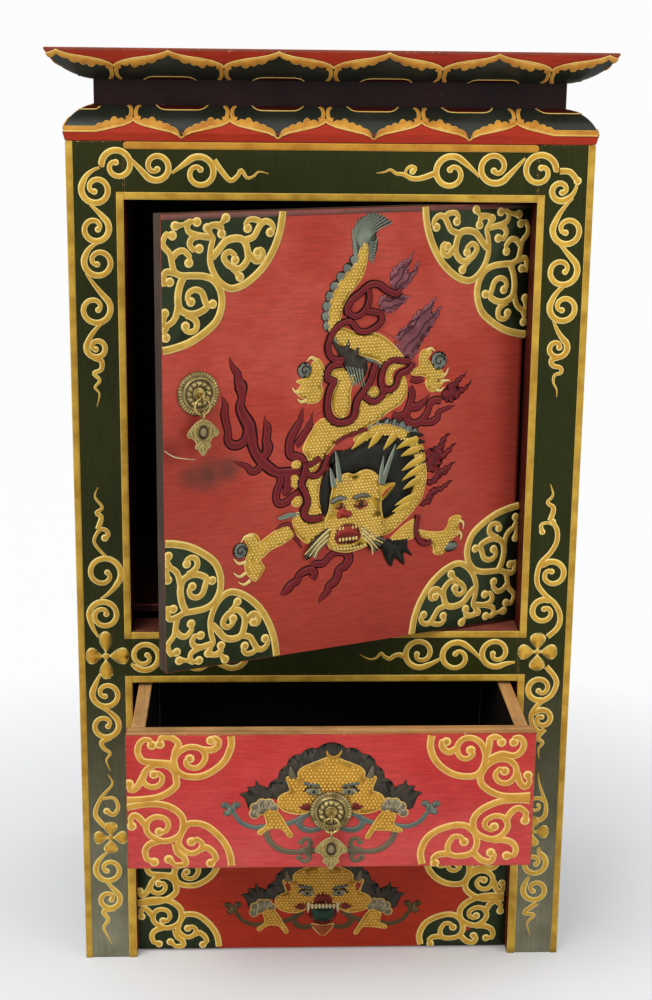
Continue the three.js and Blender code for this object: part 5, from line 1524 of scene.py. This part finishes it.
smoke_veins = [wavy(start, end, 0.5) for start, end in (
    ((170, 514), (182, 533)), ((174, 513.4), (187, 528)), ((168, 520), (177, 530)),
    ((160, 505), (178, 507)), ((163, 500), (175, 502.6)),
    ((174, 477), (201, 503)), ((178, 470), (204.6, 497.6)), ((185, 468), (197, 485)),
    ((173, 481), (189, 494)))]
flame_veins = [wavy(start, end, 0.4, 0.6) for start, end in (
    ((213, 433.4), (224, 440.6)), ((213.6, 438), (223.6, 447)), ((199, 384), (212, 398)),
    ((199, 391), (212, 404)),
    ((202, 374.4), (214, 383)), ((197, 360), (209, 369)))]
pink_edges = [[(157, 486.2, 0.3), (165, 483, 0.8), (172, 478, 0.9), (178, 471.6, 0.9), (181.6, 466, 0.3)],
              [(101.6, 421, 0.3), (105, 427.6, 0.8), (111, 431.4, 0.9), (118, 433.6, 0.3)]]
tail = [(144.6, 546.2), (142.3, 539.2), (138.5, 530.8), (130.8, 523.8), (126.2, 516.9), (121.5, 508.5),
        (120, 499.2), (120, 488.5), (122.3, 486.2), (125.4, 490.8), (128.5, 494.6), (130.8, 503.8),
        (136.2, 512.3), (144.6, 522.3), (147.7, 531.5), (148.5, 543.1)]
second_bend = [(124.6, 486.2), (130, 488.8), (137.7, 486.2), (146.9, 483.8), (156.2, 483.8), (165.4, 478.5),
               (173.8, 470.8), (178, 464.6), (170, 461), (163, 461), (156.2, 465.4), (146.9, 468.5),
               (131.5, 474.6), (125.4, 481.5)]
third_bend = [(122, 456), (123.5, 460), (128, 461), (134, 460.5), (141, 457.5), (145, 455), (143, 451.5),
              (139, 450), (137, 444), (137, 436), (135, 429.5), (131, 427), (126, 429), (123, 435),
              (123, 443), (126, 449), (127.5, 452.5), (124, 454.5)]
fourth_bend = [(177.7, 453), (173, 447), (167, 440.8), (160.8, 439.2), (151.5, 436.2), (145.4, 438.5),
               (140.8, 426.9), (136.2, 423), (128.5, 422.3), (117.7, 427.7), (111.5, 424.6),
               (107.7, 419.2), (101.5, 408.5), (104.6, 402.3), (106.9, 398.5), (115.4, 399.2),
               (120.8, 403.8), (126.9, 410), (136.2, 414.6), (148.5, 418.5), (157.7, 422.3), (167, 428.5),
               (176.2, 433), (180.8, 439.2), (180.8, 447)]
neck_column = [(105.4, 385.4), (111.5, 388.5), (116, 390), (113.8, 379.2), (113.8, 370), (116.2, 362.3),
               (111.5, 358.5), (105.4, 360.8), (104.6, 368.5), (103.8, 379.2)]
shoulder_skin = [(98, 364), (104, 357), (112, 356.5), (121, 358), (123.5, 350), (123, 342), (113, 344),
                 (106, 341), (101, 344), (96, 350), (94, 358)]
mane_ring = [(140, 411), (150, 417), (159.2, 420), (170, 418.5), (180.8, 413.8), (190, 408.5), (195.4, 400),
             (197.4, 389.2), (198.5, 381.5), (197.7, 372.3), (194.6, 363), (188.5, 355.4), (179.2, 347.7),
             (170, 341.5), (160.8, 340), (160, 348), (166, 352), (174, 358), (182, 364), (187, 372),
             (188, 382), (187, 391), (184, 399), (178, 405), (169, 410), (158, 411), (148, 408)]
small_skins = [ring((96.5, 397), 3.3), ring((95.5, 386), 3.3, 5), ring((97, 372), 4),
               [(104, 391.5), (108, 390), (112, 394), (114.4, 399), (110, 400.5), (106, 397)],
               ring((155, 443), 4.6, 3.6),
               [(165, 449), (168, 447), (170, 449), (169, 454), (172, 458), (178, 460), (174, 462),
                (168, 460.5), (165, 456)]]
arms = [
    [(64, 344), (70, 346.4), (80.8, 352.5), (90, 354.8), (95, 348.5), (87, 343), (77.7, 339.8), (70, 334.2),
     (64, 333)],
    [(166, 332), (172.5, 334), (181.6, 334), (190, 336), (191.4, 344), (190.7, 348.5), (186.8, 347.9),
     (180.3, 344.5), (173.8, 339.5)],
    [(58.1, 350), (62.6, 352.8), (67.6, 350.6), (69.2, 345), (69.8, 333.3), (72.6, 327.8), (70.3, 323.3),
     (65.9, 318.9), (60.9, 323.3), (58.1, 330), (59.2, 335.6), (60.5, 343)],
    [(193.3, 340.3), (202.2, 338), (213.3, 337), (217.8, 341.4), (218.9, 345.9), (224.4, 347.6),
     (228.3, 345.9), (226, 340), (227, 334), (222, 331), (217, 324), (213.3, 320.3), (206.7, 321.4),
     (205.6, 327), (200, 333.7), (194.4, 335.9)],
    [(107.3, 465.3), (111.3, 469.3), (115.3, 465.3), (117.3, 458.7), (114.7, 452), (116, 446.7), (112.7, 440),
     (104.7, 439.3), (102, 442), (96, 447.3), (100, 452), (96, 454.7), (100.7, 456), (105, 458)],
    [(190.5, 464), (192, 468.5), (196, 470), (200, 468), (197, 463), (201, 460), (204, 456), (208, 455),
     (211, 450), (207, 447), (211, 446.5), (208, 443), (203, 440), (199, 441), (196, 446), (197, 450),
     (192, 452), (186, 453), (184, 455.5), (189, 457.5), (191, 460)],
]
claws = [
    [(62, 320, 1.4), (57.5, 317.6, 1), (53, 320, 0.3)], [(59, 326, 1.4), (54, 323.6, 1), (49.5, 327, 0.3)],
    [(59, 333.6, 1.3), (53.5, 333, 1), (49.5, 337, 0.3)],
    [(64, 351, 1.4), (58.6, 351.4, 1.1), (55, 347.5, 0.3)],
    [(226, 344, 1.2), (230, 342, 0.9), (230.4, 337, 0.3)],
    [(225.6, 336, 1.2), (229, 333, 0.9), (228, 329, 0.3)],
    [(196, 469, 1.3), (199.6, 470.6, 1), (202.6, 468.4, 0.3)],
    [(208, 450, 1.3), (212, 451.6, 1), (214, 456, 0.3)],
    [(208, 446.4, 1.3), (212, 447, 1), (215.6, 446.6, 0.3)],
    [(204, 441, 1.2), (208, 440.2, 0.9), (211, 442.5, 0.3)],
    [(99, 447.6, 1.3), (95, 448, 1), (92.8, 451, 0.3)],
    [(104, 441.6, 1.3), (99.6, 440.6, 1), (96.6, 443, 0.3)],
    [(111, 468, 1.4), (107, 470.4, 1.1), (103.4, 468, 0.3)],
]
pearl_turns = []
for u, v, reach in ((54.8, 341.7, 4.0), (102, 462, 3.8), (206, 461.4, 4.6)):
    turn = [(u + reach * (1 - i / 14) * math.cos(0.6 * i), v + reach * (1 - i / 14) * math.sin(0.6 * i), 0.45)
            for i in range(12)]
    pearl_turns.append(turn)
pearls = [ring((54.8, 341.7), 5.7), ring((102, 462), 5.5), ring((206, 461.4), 6.6),
          ring((219.4, 325.3), 6.5, 4)]
scallops = [ring((u, v), 4.2) for u, v in (
    (138.6, 533.6), (134, 528.4), (129, 523), (124.4, 517), (121, 510.6), (118.8, 504), (118.2, 497.4),
    (119.4, 491), (154, 417.6), (159.6, 419.6), (165.4, 420.2), (171.2, 419.2), (177, 417.4), (182.6, 414.8),
    (187.6, 411.4))]
fins = [
    [(122, 482), (126, 475), (133, 470.5), (141, 467), (152, 463.5), (160, 458.5), (161, 461.5),
     (154, 466.5), (140, 471), (130, 476), (125.5, 483)],
]
mane = [
    [(124, 404), (134, 404.5), (146, 409), (158, 412), (170, 411), (180, 407), (187, 398), (189, 386),
     (187.5, 372), (181, 361), (171, 354), (158, 352), (156, 362), (156, 374), (152, 382), (146, 384),
     (138, 383), (131, 383), (125, 380), (121, 392)],
    [(120, 391), (124, 388), (123.5, 372), (121, 361), (117, 360), (114.5, 368), (114.5, 380), (117, 388)],
    [(160, 334.6), (168, 337), (178, 335), (184, 334.6), (184, 329), (188.5, 322), (181, 325.5),
     (182, 316.2), (174, 322), (171.5, 316.2), (167, 321), (163.8, 328.5)],
]
tuft = [(123, 480), (131, 476), (134.5, 481), (137, 474), (143, 475), (142, 470.5), (148, 467), (149.5, 460),
        (147, 454), (142, 450.5), (138, 455), (132, 461), (127.5, 470)]
mane_fingers = [
    [(150, 414, 2.8), (145, 410.4, 2.6), (138, 404.6, 0.3)],
    [(160, 414, 2.8), (156, 409.5, 2.6), (151, 404, 0.3)],
    [(172, 412, 2.8), (168, 407.5, 2.4), (163, 402, 0.3)],
    [(190, 407, 2.8), (181, 405, 2.4), (173, 401.5, 0.3)],
    [(191, 400, 2.6), (184, 398.6, 2.4), (177, 396, 0.3)],
    [(195, 393, 2.8), (186, 389.6, 2.4), (178, 385.5, 0.3)],
    [(194, 386, 2.6), (186, 382.8, 2.2), (178.5, 378.5, 0.3)],
    [(193, 378, 2.6), (186, 375.4, 2.2), (179.5, 372, 0.3)],
    [(190, 366, 2.8), (182, 364, 2.4), (173, 361, 0.3)],
    [(185, 360, 2.6), (178, 358.6, 2.2), (171, 356.5, 0.3)],
]
mane_wedges = [[(180, 409), (188, 408.6), (196, 409), (191, 411.5), (184, 412.5)],
               [(184, 404), (192, 403.4), (197, 404.6), (190, 407)],
               [(184, 396.6), (191, 396.4), (197.6, 398), (190, 399.4)],
               [(186, 388.6), (192, 388.4), (198, 390.4), (192, 391.6)]]
lower_ribbon = [(192, 351.7), (190.6, 344), (191.6, 336.5), (197.2, 330.2), (203.7, 331.4)]
dark_fin = [(161, 424), (164.5, 427.5), (168, 433), (168.6, 441), (165, 437), (162, 431)]
face_outline = [(123.8, 380), (125, 384), (130, 387), (135, 388), (140, 386.5), (145, 388.5), (150, 389),
                (155, 387), (159, 383), (160, 378), (161.5, 372), (161.5, 360.8), (163, 353), (163.8, 343.8),
                (157.7, 337.7), (148.5, 333.8), (136.2, 331.6), (125.4, 334), (120.3, 338.2), (119, 346),
                (118, 356), (121, 364), (122, 372)]
horns = [[(124, 380, 2.2), (122.6, 386, 1.7), (120.8, 393.6, 0.3)],
         [(128.5, 383, 2.2), (127, 392, 1.8), (126, 399, 1.2), (124.6, 405, 0.3)],
         [(160.6, 379, 2), (161, 388, 1.6), (162.4, 398, 0.3)],
         [(161.6, 378, 2.2), (165, 388, 1.9), (168.8, 398, 1.4), (171.8, 405.6, 0.3)]]
plume = []
for i in range(13):
    t = i / 12
    plume.append(flourish([(144 + 4 * t, 541 + 5 * t), (139 + 15 * t, 552 + 4 * math.sin(3 * t)),
                           (140 + 27 * t, 560 + 6 * math.sin(3.14 * t) - 2 * t)], 0.55, 0.3))
for i in range(8):
    plume.append(flourish([(141.5 - 0.3 * i, 531 + 2.2 * i), (138 - 0.2 * i, 538 + 2.2 * i),
                           (137.6 + 0.5 * i, 546 + 1.6 * i)], 0.5, 0.3))
    plume.append(flourish([(149, 546 - 1.6 * i), (153.5, 545 - 2 * i), (156 - 0.6 * i, 549 - 2.4 * i)], 0.5,
                          0.3))
plume_area = [(141, 531), (137.2, 541), (137.4, 552), (140.4, 560), (147, 563.8), (153.5, 564.6),
              (160, 562.4), (167, 557.8), (159, 555.6), (155, 551), (156.6, 545), (155, 538), (152.6, 533),
              (149.6, 540), (146, 548), (143.4, 541)]
whiskers = []
for i in range(6):
    t = i / 5
    whiskers.append(flourish([(121 - 2 * t, 350 - 9 * t), (113 - t, 344 - 9 * t), (102 + 9 * t, 334 - 4 * t)],
                             0.8, 0.4))
    whiskers.append(flourish([(145 + 3 * t, 350 - 9 * t), (153 + t, 343 - 9 * t),
                              (165 - 10 * t, 337 - 9 * t)], 0.85, 0.4))
    whiskers.append(flourish([(98 - t, 363 - t), (90, 364 - 3 * t), (82 + t, 361.5 + 2 * t - 3 * t * t)],
                             0.5, 0.3))
whisker_beds = [[(121.4, 351.4), (119, 340.6), (104.6, 330), (102.4, 333.6), (109, 343.4)],
                [(144.6, 351), (147.6, 340.4), (155, 329.6), (160, 331), (165, 336.4), (158, 343.6)]]
tuft_hairs = [flourish([(133 + 2.4 * i, 463 - 0.6 * i), (136 + 2 * i, 456 - 0.5 * i),
                        (138 + 2 * i, 449 - 0.4 * i)], 0.5, 0.3) for i in range(6)]
brows = [[(120.6, 369), (122, 371.6), (125, 372.8), (129, 373.6), (131, 372.4), (134.4, 371), (131, 369.6),
          (127, 369.4), (123.6, 368)],
         [(137.8, 370.4), (140, 372.2), (144, 373.2), (148, 373), (152.8, 370.2), (149, 369.6), (144, 370.2),
          (141, 369)]]
eyes = [[(125.6, 366.6), (128, 368), (131, 367.6), (132.6, 365.4), (130, 364), (127, 364.4)],
        [(139.8, 366.4), (142.6, 368.6), (146.4, 368.6), (149.8, 366), (146.6, 363.6), (142.4, 363.8)]]
irises = [ring((129, 366), 1.7), ring((144.6, 366), 2.2)]
nose = [(126, 359.5), (127, 363), (131, 364.5), (134, 362), (137.5, 361), (138, 358.5), (135, 356.5),
        (131, 357.5), (127, 356.8)]
mouth = [(124.6, 343), (125.6, 348), (129, 351.5), (135, 352.5), (141, 351), (144.4, 346.5), (144.8, 341),
         (140, 338.2), (133, 338), (127, 339)]
tongue = [(127, 345), (128.6, 349), (133, 350.6), (138.6, 350), (141.6, 346.6), (140, 344.6)]
teeth = [ring((u, 341.6), 1.1, 1.4) for u in (128.6, 131.2, 133.8, 136.4, 139, 141.4)]
teeth += [ring((u, 349.6), 0.9, 1.3) for u in (128.4, 130.9, 138.4, 141)]
chin_beads = [ring((124.6 + 2.6 * i, 334.4 + 0.07 * (i - 4.5) ** 2), 1.1) for i in range(10)]
ear = [(159.6, 376), (166, 378), (172.4, 377.5), (169, 372), (165, 368), (160.6, 366)]
worn_top = paint("rubbed_distemper_top_of_door", "#7b4640", "#4f4a40", "#8f8672", 0.5, (0.1, 1, 1), 0.9, 0.05)
fires = joined([
    flat_patches([[(0.3, 564.8), (277.6, 564.8), (277.6, 568.1), (0.3, 568.1)]], worn_top, 0.2),
    patches([flickered(area, 0.7) for area in flame_areas], flame_red, 0.3, 0.5, 2.2, 1.4),
    lines([[(u, v, 1.2 * half) for u, v, half in stroke] for stroke in flames], flame_red, 0.4, lift=0.03),
    lines(flame_veins, smoke_shade, 0.4, lift=0.4, step=1.6),
    lines([[(1, 415.7, 0.2), (8.8, 410.8, 0.3), (22.6, 408, 0.15)]], bone_white, 0.4, lift=0.02),
    patches([flickered(area, 0.8) for area in smoky_flames], smoke, 0.3, 0.6, 1.8, 1.4),
    lines(smoke_veins, smoke_shade, 0.5, lift=0.4, step=1.6),
    lines(pink_edges, pale_red, 0.4, lift=0.03),
])
show("door_flames", laid(fires, on_door), "door", "red_paint")
painted = [
    patches([plume_area], plume_dark, 0.5, 1.0, 1.0, 1.2),
    patches(scallops, fin_grey, 0.5, 1.2, 1.5, 1.0, lift=0.02),
    patches(fins + [dark_fin], fin_grey, 0.6, 1.4, 1.3, 1.2, lift=0.1),
    skin([tail, second_bend, third_bend, fourth_bend, neck_column, shoulder_skin] + small_skins + arms,
         skin_gold, bead_gold, 0.1),
    lines(ribbons + [even(lower_ribbon, 2.0)], flame_red, 1.1),
    lines(ribbons + [even(lower_ribbon, 2.0)], flame_red, 0.3, lift=1.5),
    patches(pearls, fin_grey, 0.9, 2.4, 1.4, 1.2, lift=0.3),
    lines(pearl_turns, lamp_black, 0.5, lift=1.5),
    lines(claws, claw_gold, 0.8, lift=0.6),
    skin([mane_ring], skin_gold, bead_gold, 0.1, seed=5),
    patches(mane, lamp_black, 0.5, 0.8, 1.2, 1.3, lift=0.9),
    patches(mane_wedges, lamp_black, 0.5, 1.0, 1.0, 1.0, lift=1.1),
    lines(mane_fingers, skin_gold, 0.6, lift=1.3),
    patches([tuft], hair_brown, 0.5, 0.8, 1.2, 1.2, lift=1.1),
    lines(tuft_hairs, celadon, 0.6, lift=1.6),
    lines(plume, celadon, 0.8, lift=0.6, step=1.6),
    lines(whiskers[2::3], celadon, 0.8, lift=1.0, step=1.6),
]
face_parts = [
    skin([face_outline], skin_gold, bead_gold, 1.2, 2.4, 1.0, 7),
    lines(horns, celadon, 0.9, lift=2.0),
    patches([ear], skin_gold, 0.7, 1.6, 1.2, 1.0, lift=1.7),
    lines([[(161.6, 369, 0.8), (165, 373, 0.8), (169.6, 376, 0.3)]], pale_red, 0.6, lift=2.5),
    patches(whisker_beds, hair_brown, 0.4, 0.8, 1.0, 1.0, lift=1.6),
    lines(whiskers[0::6] + whiskers[4::6], claw_gold, 0.8, lift=2.2, step=1.6),
    lines(whiskers[3::6] + whiskers[1::6], cuff_olive, 0.8, lift=2.2, step=1.6),
    patches(brows, fin_grey, 0.7, 1.4, 0.8, 0.8, lift=2.8),
    patches(eyes, eye_brown, 0.4, 1.0, 0.7, 0.7, lift=2.7),
    patches(irises, pupil_brown, 0.4, 0.8, 0.4, 0.6, lift=3.0),
    lines([even([(124.6, 365), (129, 362.8), (133, 364.6)], 0.6),
           even([(139, 365.4), (144, 362.4), (150, 364.6)], 0.6)], nose_red, 0.6, lift=2.7),
    patches([nose], pale_red, 0.8, 1.8, 1.2, 0.8, lift=2.6),
    patches([mouth], nose_red, 0.6, 1.4, 1.4, 0.9, lift=2.6),
    patches([tongue], pale_red, 0.4, 1.2, 0.8, 0.8, lift=3.1),
    patches(teeth + chin_beads, claw_gold, 0.5, 0.8, 0.5, 0.6, lift=3.1),
]
painted.append(flat_patches([face_outline], skin_gold, 2.2))
painted += [raised(part, 0.9) for part in face_parts]
show("door_dragon", laid(joined(painted), on_door), "door", "gold_relief")

# The drawer: a red front in the same scrolls and mask as the apron, but on a plain red ground, nailed to
# sides and a bottom of bare softwood.
drawer_front_y = 158.125
# Pale softwood gone orange brown, its faces inside nearly black as a painted shade of the drawer's inside,
# and a vermilion in lighter clouds that is paler low down and rubbed to the wood at the corners
raw_sides = bare("bare_softwood_drawer", "#d8a86e", "#bd8a52", (0, 1, 0), 0.6, 6.0, "#7c5a3c", 0.5)
raw_across = bare("bare_softwood_drawer_across", "#cf9f69", "#b3824c", (1, 0, 0), 0.62, 6.0, "#6d4f36", 0.6)
drawer_inside_shade_coat = bare("drawer_inside_painted_shade", "#150e0a", "#0d0906", (0, 1, 0), 0.8, 6.0, "#0a0705", 0.6)
drawer_coat = paint("vermilion_distemper_drawer", "#ad2f2c", "#ba403a", "#7e241b", 0.36, (0.12, 0.12, 1), 0.8,
                    0.01, low_tint=(0.12, 0.2, "#bd5250", 0.9))
drawer_edge = paint("drawer_edge_rubbed", "#8f3527", "#a8583b", "#c99566", 0.55, (0.12, 0.12, 1), 0.9, 0.12)
board("drawer_front", drawer_coat, drawer_edge, "drawer", "red_paint", 0.8,
      [((0, 0, 1), raw_across), ((0, 1, 0), raw_across), ((0, 0, -1), raw_across)])
board("drawer_side_left", raw_sides, raw_sides, "drawer", "raw_wood", 0.7, [((1, 0, 0), drawer_inside_shade_coat)])
board("drawer_side_right", raw_sides, raw_sides, "drawer", "raw_wood", 0.7, [((-1, 0, 0), drawer_inside_shade_coat)])
board("drawer_back", raw_across, raw_across, "drawer", "raw_wood", 0.6, [((0, -1, 0), drawer_inside_shade_coat)])
board("drawer_bottom", raw_across, raw_across, "drawer", "raw_wood", 0, [((0, 0, 1), drawer_inside_shade_coat)])


def on_drawer(u, v, out):
    return Vector((u, -drawer_front_y - out, v)) / 1000


# The same ochre, warmer on the drawer
drawer_gold = gilt("ochre_distemper_drawer", "#c8953c", "#e2bf72", "#b37e2c")
drawer_strokes = [vine(points, 2.8, 3.6) for vines in drawer_vines.values() for points in vines]
drawer_scrolls = lines(drawer_strokes, drawer_gold, 0.62, 1.0, -0.1, 1.1)
show("drawer_corner_scrolls", laid(framed(drawer_scrolls, -139.6, 139.6, 122.1, 220.5), on_drawer), "drawer",
     "gold_relief")
# The middle of the mask is flat where the rose is seated on it
pull_seat = (0.0, 164.4)
seat_radius = 15.0
drawer_mask = mask_parts(arm_grey, True)
for vertex in drawer_mask.vertices:
    if math.hypot(vertex.co.x - pull_seat[0], vertex.co.y - pull_seat[1]) < seat_radius:
        vertex.co.z *= 0.03
show("drawer_mask", laid(drawer_mask, on_drawer), "drawer", "gold_relief")

# The pulls: cast brass roses with a fluted rim and a ring of petals, each with a ring and a lozenge drop,
# held by a brass pin that is clenched behind the board. Dirt and old polish darken the hollows.
brass, tree = new_material("cast_brass_with_olive_patina")
place = node(tree, "ShaderNodeTexCoord").outputs["Object"]
tarnish = node(tree, "ShaderNodeTexNoise", {"Vector": place, "Scale": 160.0, "Detail": 4.0})
tarnish_level = node(tree, "ShaderNodeMapRange", {"Value": tarnish, "From Min": 0.4, "From Max": 0.65})
hollow = node(tree, "ShaderNodeAttribute", attribute_name="hollow").outputs["Fac"]
tone = covered(tree, colour("#bba566"), (tarnish_level, "#7d6c3e"), (hollow, "#2a2013"))
rough = node(tree, "ShaderNodeMapRange", {"Value": tarnish_level, "To Min": 0.3, "To Max": 0.5})
sand = node(tree, "ShaderNodeTexNoise", {"Vector": place, "Scale": 1500.0, "Detail": 2.0})
shine = node(tree, "ShaderNodeMapRange", {"Value": hollow, "To Min": 1.0, "To Max": 0.2})
surfaced(tree, sand, 0.3, 0.0002, {"Base Color": tone, "Metallic": shine, "Roughness": rough})
rose_radius = 14.6
rose_bore = 2.1
rose_rows = [2.1, 2.9, 3.3, 3.7, 4.1, 4.6, 5.2, 5.9, 6.6, 7.3, 8, 8.6, 9.1, 9.6, 10.1, 10.5, 10.9, 11.4, 11.9,
             12.4, 12.9, 13.4, 13.9, 14.3, rose_radius]
rose_turns = 216
rose_petals = 12
rose_flutes = 40


def rose_relief(radius, angle):
    # Height of the rose's face and how deep in a hollow it lies, from 0 to 1. From the middle out it has a
    # collar round the pin, the petals, a plain ring and the fluted rim.
    if radius < 4.6:
        ridge = max(0.0, 1 - abs(radius - 3.7) / 0.8)
        return 1.8 + 1.6 * ridge ** 0.7, 1 - ridge ** 0.5
    if radius < 9.1:
        swell = math.sin(math.pi * (radius - 4.6) / 4.5) ** 0.7
        crest = abs(math.cos(rose_petals / 2 * angle + 0.25 * (radius - 7))) ** 0.6
        return 2.0 + 2.2 * swell * (0.3 + 0.7 * crest), 1 - swell * crest
    if radius < 11.4:
        ridge = max(0.0, 1 - abs(radius - 10.4) / 0.9)
        return 2.1 + 1.6 * ridge ** 0.7, 1 - ridge ** 0.5
    swell = math.sin(math.pi * min(1.0, (radius - 11.3) / 3.2)) ** 0.5
    crest = (0.5 + 0.5 * math.cos(rose_flutes * angle)) ** 0.6
    return 1.4 + 0.9 * swell * (0.35 + 0.65 * crest), 0.85 * (1 - swell * crest)


def rose(centre):
    # A disc with a bore, turned row by row, with the relief on its face
    shape = bmesh.new()
    layer = shape.verts.layers.float.new("hollow")
    angles = [2 * math.pi * k / rose_turns for k in range(rose_turns)]
    rows = [[shape.verts.new((centre[0] + rose_bore * math.cos(angle),
                              centre[1] + rose_bore * math.sin(angle), 0.0))
             for angle in angles]]
    for radius in rose_rows:
        row = []
        for angle in angles:
            high, deep = rose_relief(radius, angle) if radius < rose_radius else (0.9, 0.3)
            row.append(shape.verts.new((centre[0] + radius * math.cos(angle),
                                        centre[1] + radius * math.sin(angle), high)))
            row[-1][layer] = deep
        rows.append(row)
    rows.append([shape.verts.new((vertex.co.x, vertex.co.y, 0.0)) for vertex in rows[-1]])
    for inner, outer in zip(rows, rows[1:] + rows[:1]):
        for k in range(rose_turns):
            n = (k + 1) % rose_turns
            shape.faces.new((inner[k], outer[k], outer[n], inner[n]))
    return closed_mesh(shape, brass)


drop_edge = [(0, -15.5), (3.4, -16.9), (5.8, -18.4), (8.7, -21.1), (10.9, -23.7), (11.5, -25.2),
             (10.6, -26.9), (8.4, -27.2), (6.6, -28.6), (5, -30.8), (4.7, -32.4), (5.5, -34.6), (3.4, -35.7),
             (2.2, -37.5), (0, -40.2)]
cast_gold = gilt("cast_brass_drop", "#8f7d48", "#c2ae70", "#6d5d34", 0.35, "#3a2d1a", 0.95)
dark_brass = gilt("cast_brass_hollow", "#3a2d1c", "#57482c", "#2c2115", 0.7, "#1c150d", 0.9)
dull_boss = gilt("cast_brass_boss", "#85775a", "#5f5236", "#6d6047", 0.4, "#2c2115", 0.8)


def both_strokes(strokes):
    return strokes + [[(-u, v, half) for u, v, half in stroke] for stroke in strokes]


def drop_relief(centre):
    # The leaf-shaped face of a drop, its rim, the hollow, the boss and the leaf ribs
    outline = drop_edge + [(-u, v) for u, v in drop_edge[-2:0:-1]]
    rim = [(0.93 * u, -25.5 + 0.95 * (v + 25.5)) for u, v in outline]
    ribs = [[(0, -31, 0.7), (0, -34, 0.9), (0, -39, 0.3)]]
    ribs += both_strokes([[(1.2, -30.6, 0.6), (3, -32, 0.7), (3.9, -34.4, 0.4)],
                          [(1, -32.6, 0.5), (2, -34, 0.6), (2.4, -36, 0.3)],
                          [(2.6, -18.9, 0.4), (5.2, -21, 0.7), (5.6, -24.4, 0.8), (4.6, -27.6, 0.7),
                           (2.6, -29.4, 0.4)],
                          [(5, -19.6, 0.3), (7.4, -22, 0.6), (8.2, -24.6, 0.7), (7, -26.2, 0.4)],
                          [(9.6, -24.8, 0.7), (8.4, -25.8, 0.5), (7.4, -25.6, 0.3)]])
    parts = [
        flat_patches([outline], cast_gold, 0.3),
        lines([even(rim, 0.7)], cast_gold, 1.7, step=0.8, closed=True),
        patches([ring((0, -24.2), 4.5, 5)], dark_brass, 0.3, 0.8, 0.8, 0.9, lift=0.2),
        lines(ribs, cast_gold, 1.4, lift=0.3, step=0.7),
        patches([ring((0, -24.1), 2.9, 3.4)], dull_boss, 2.2, 2.8, 1.2, 0.8, 2, lift=0.2),
    ]
    mesh = joined(parts)
    for vertex in mesh.vertices:
        vertex.co.x += centre[0]
        vertex.co.y += centre[1]
    return mesh


drop_face = 8.75
for word, centre, place_on in (("door", (24.6, 452.2), on_door), ("drawer", (0.0, 164.4), on_drawer)):
    show(word + "_rose", laid(rose(centre), place_on, 0.1), word, "cast_brass", word + "_pull_rosette")
    show(word + "_drop_relief", laid(drop_relief(centre), place_on, drop_face), word + "_pendant",
         "cast_brass")

# The door's pivot pins: forged iron, dark with fire scale that is grey where it has rubbed off. They are
# driven into the middle and the top rail, and the door turns on what stands out of them.
iron, tree = new_material("forged_iron")
place = node(tree, "ShaderNodeTexCoord").outputs["Object"]
fire_scale = node(tree, "ShaderNodeTexNoise", {"Vector": place, "Scale": 500.0, "Detail": 4.0})
tone = covered(tree, colour("#4a4541"), (fire_scale, "#2c2825"))
surfaced(tree, fire_scale, 0.4, 0.0003, {"Base Color": tone, "Metallic": 1.0, "Roughness": 0.55})
for node_name, metal in {
    "door_pull_eye_pin": brass, "door_pull_ring": brass, "door_pull_pendant": brass,
    "drawer_pull_eye_pin": brass, "drawer_pull_ring": brass, "drawer_pull_pendant": brass,
    "pivot_pin_lower": iron, "pivot_pin_upper": iron,
}.items():
    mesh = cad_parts[node_name].data
    mesh.materials.clear()
    mesh.materials.append(metal)
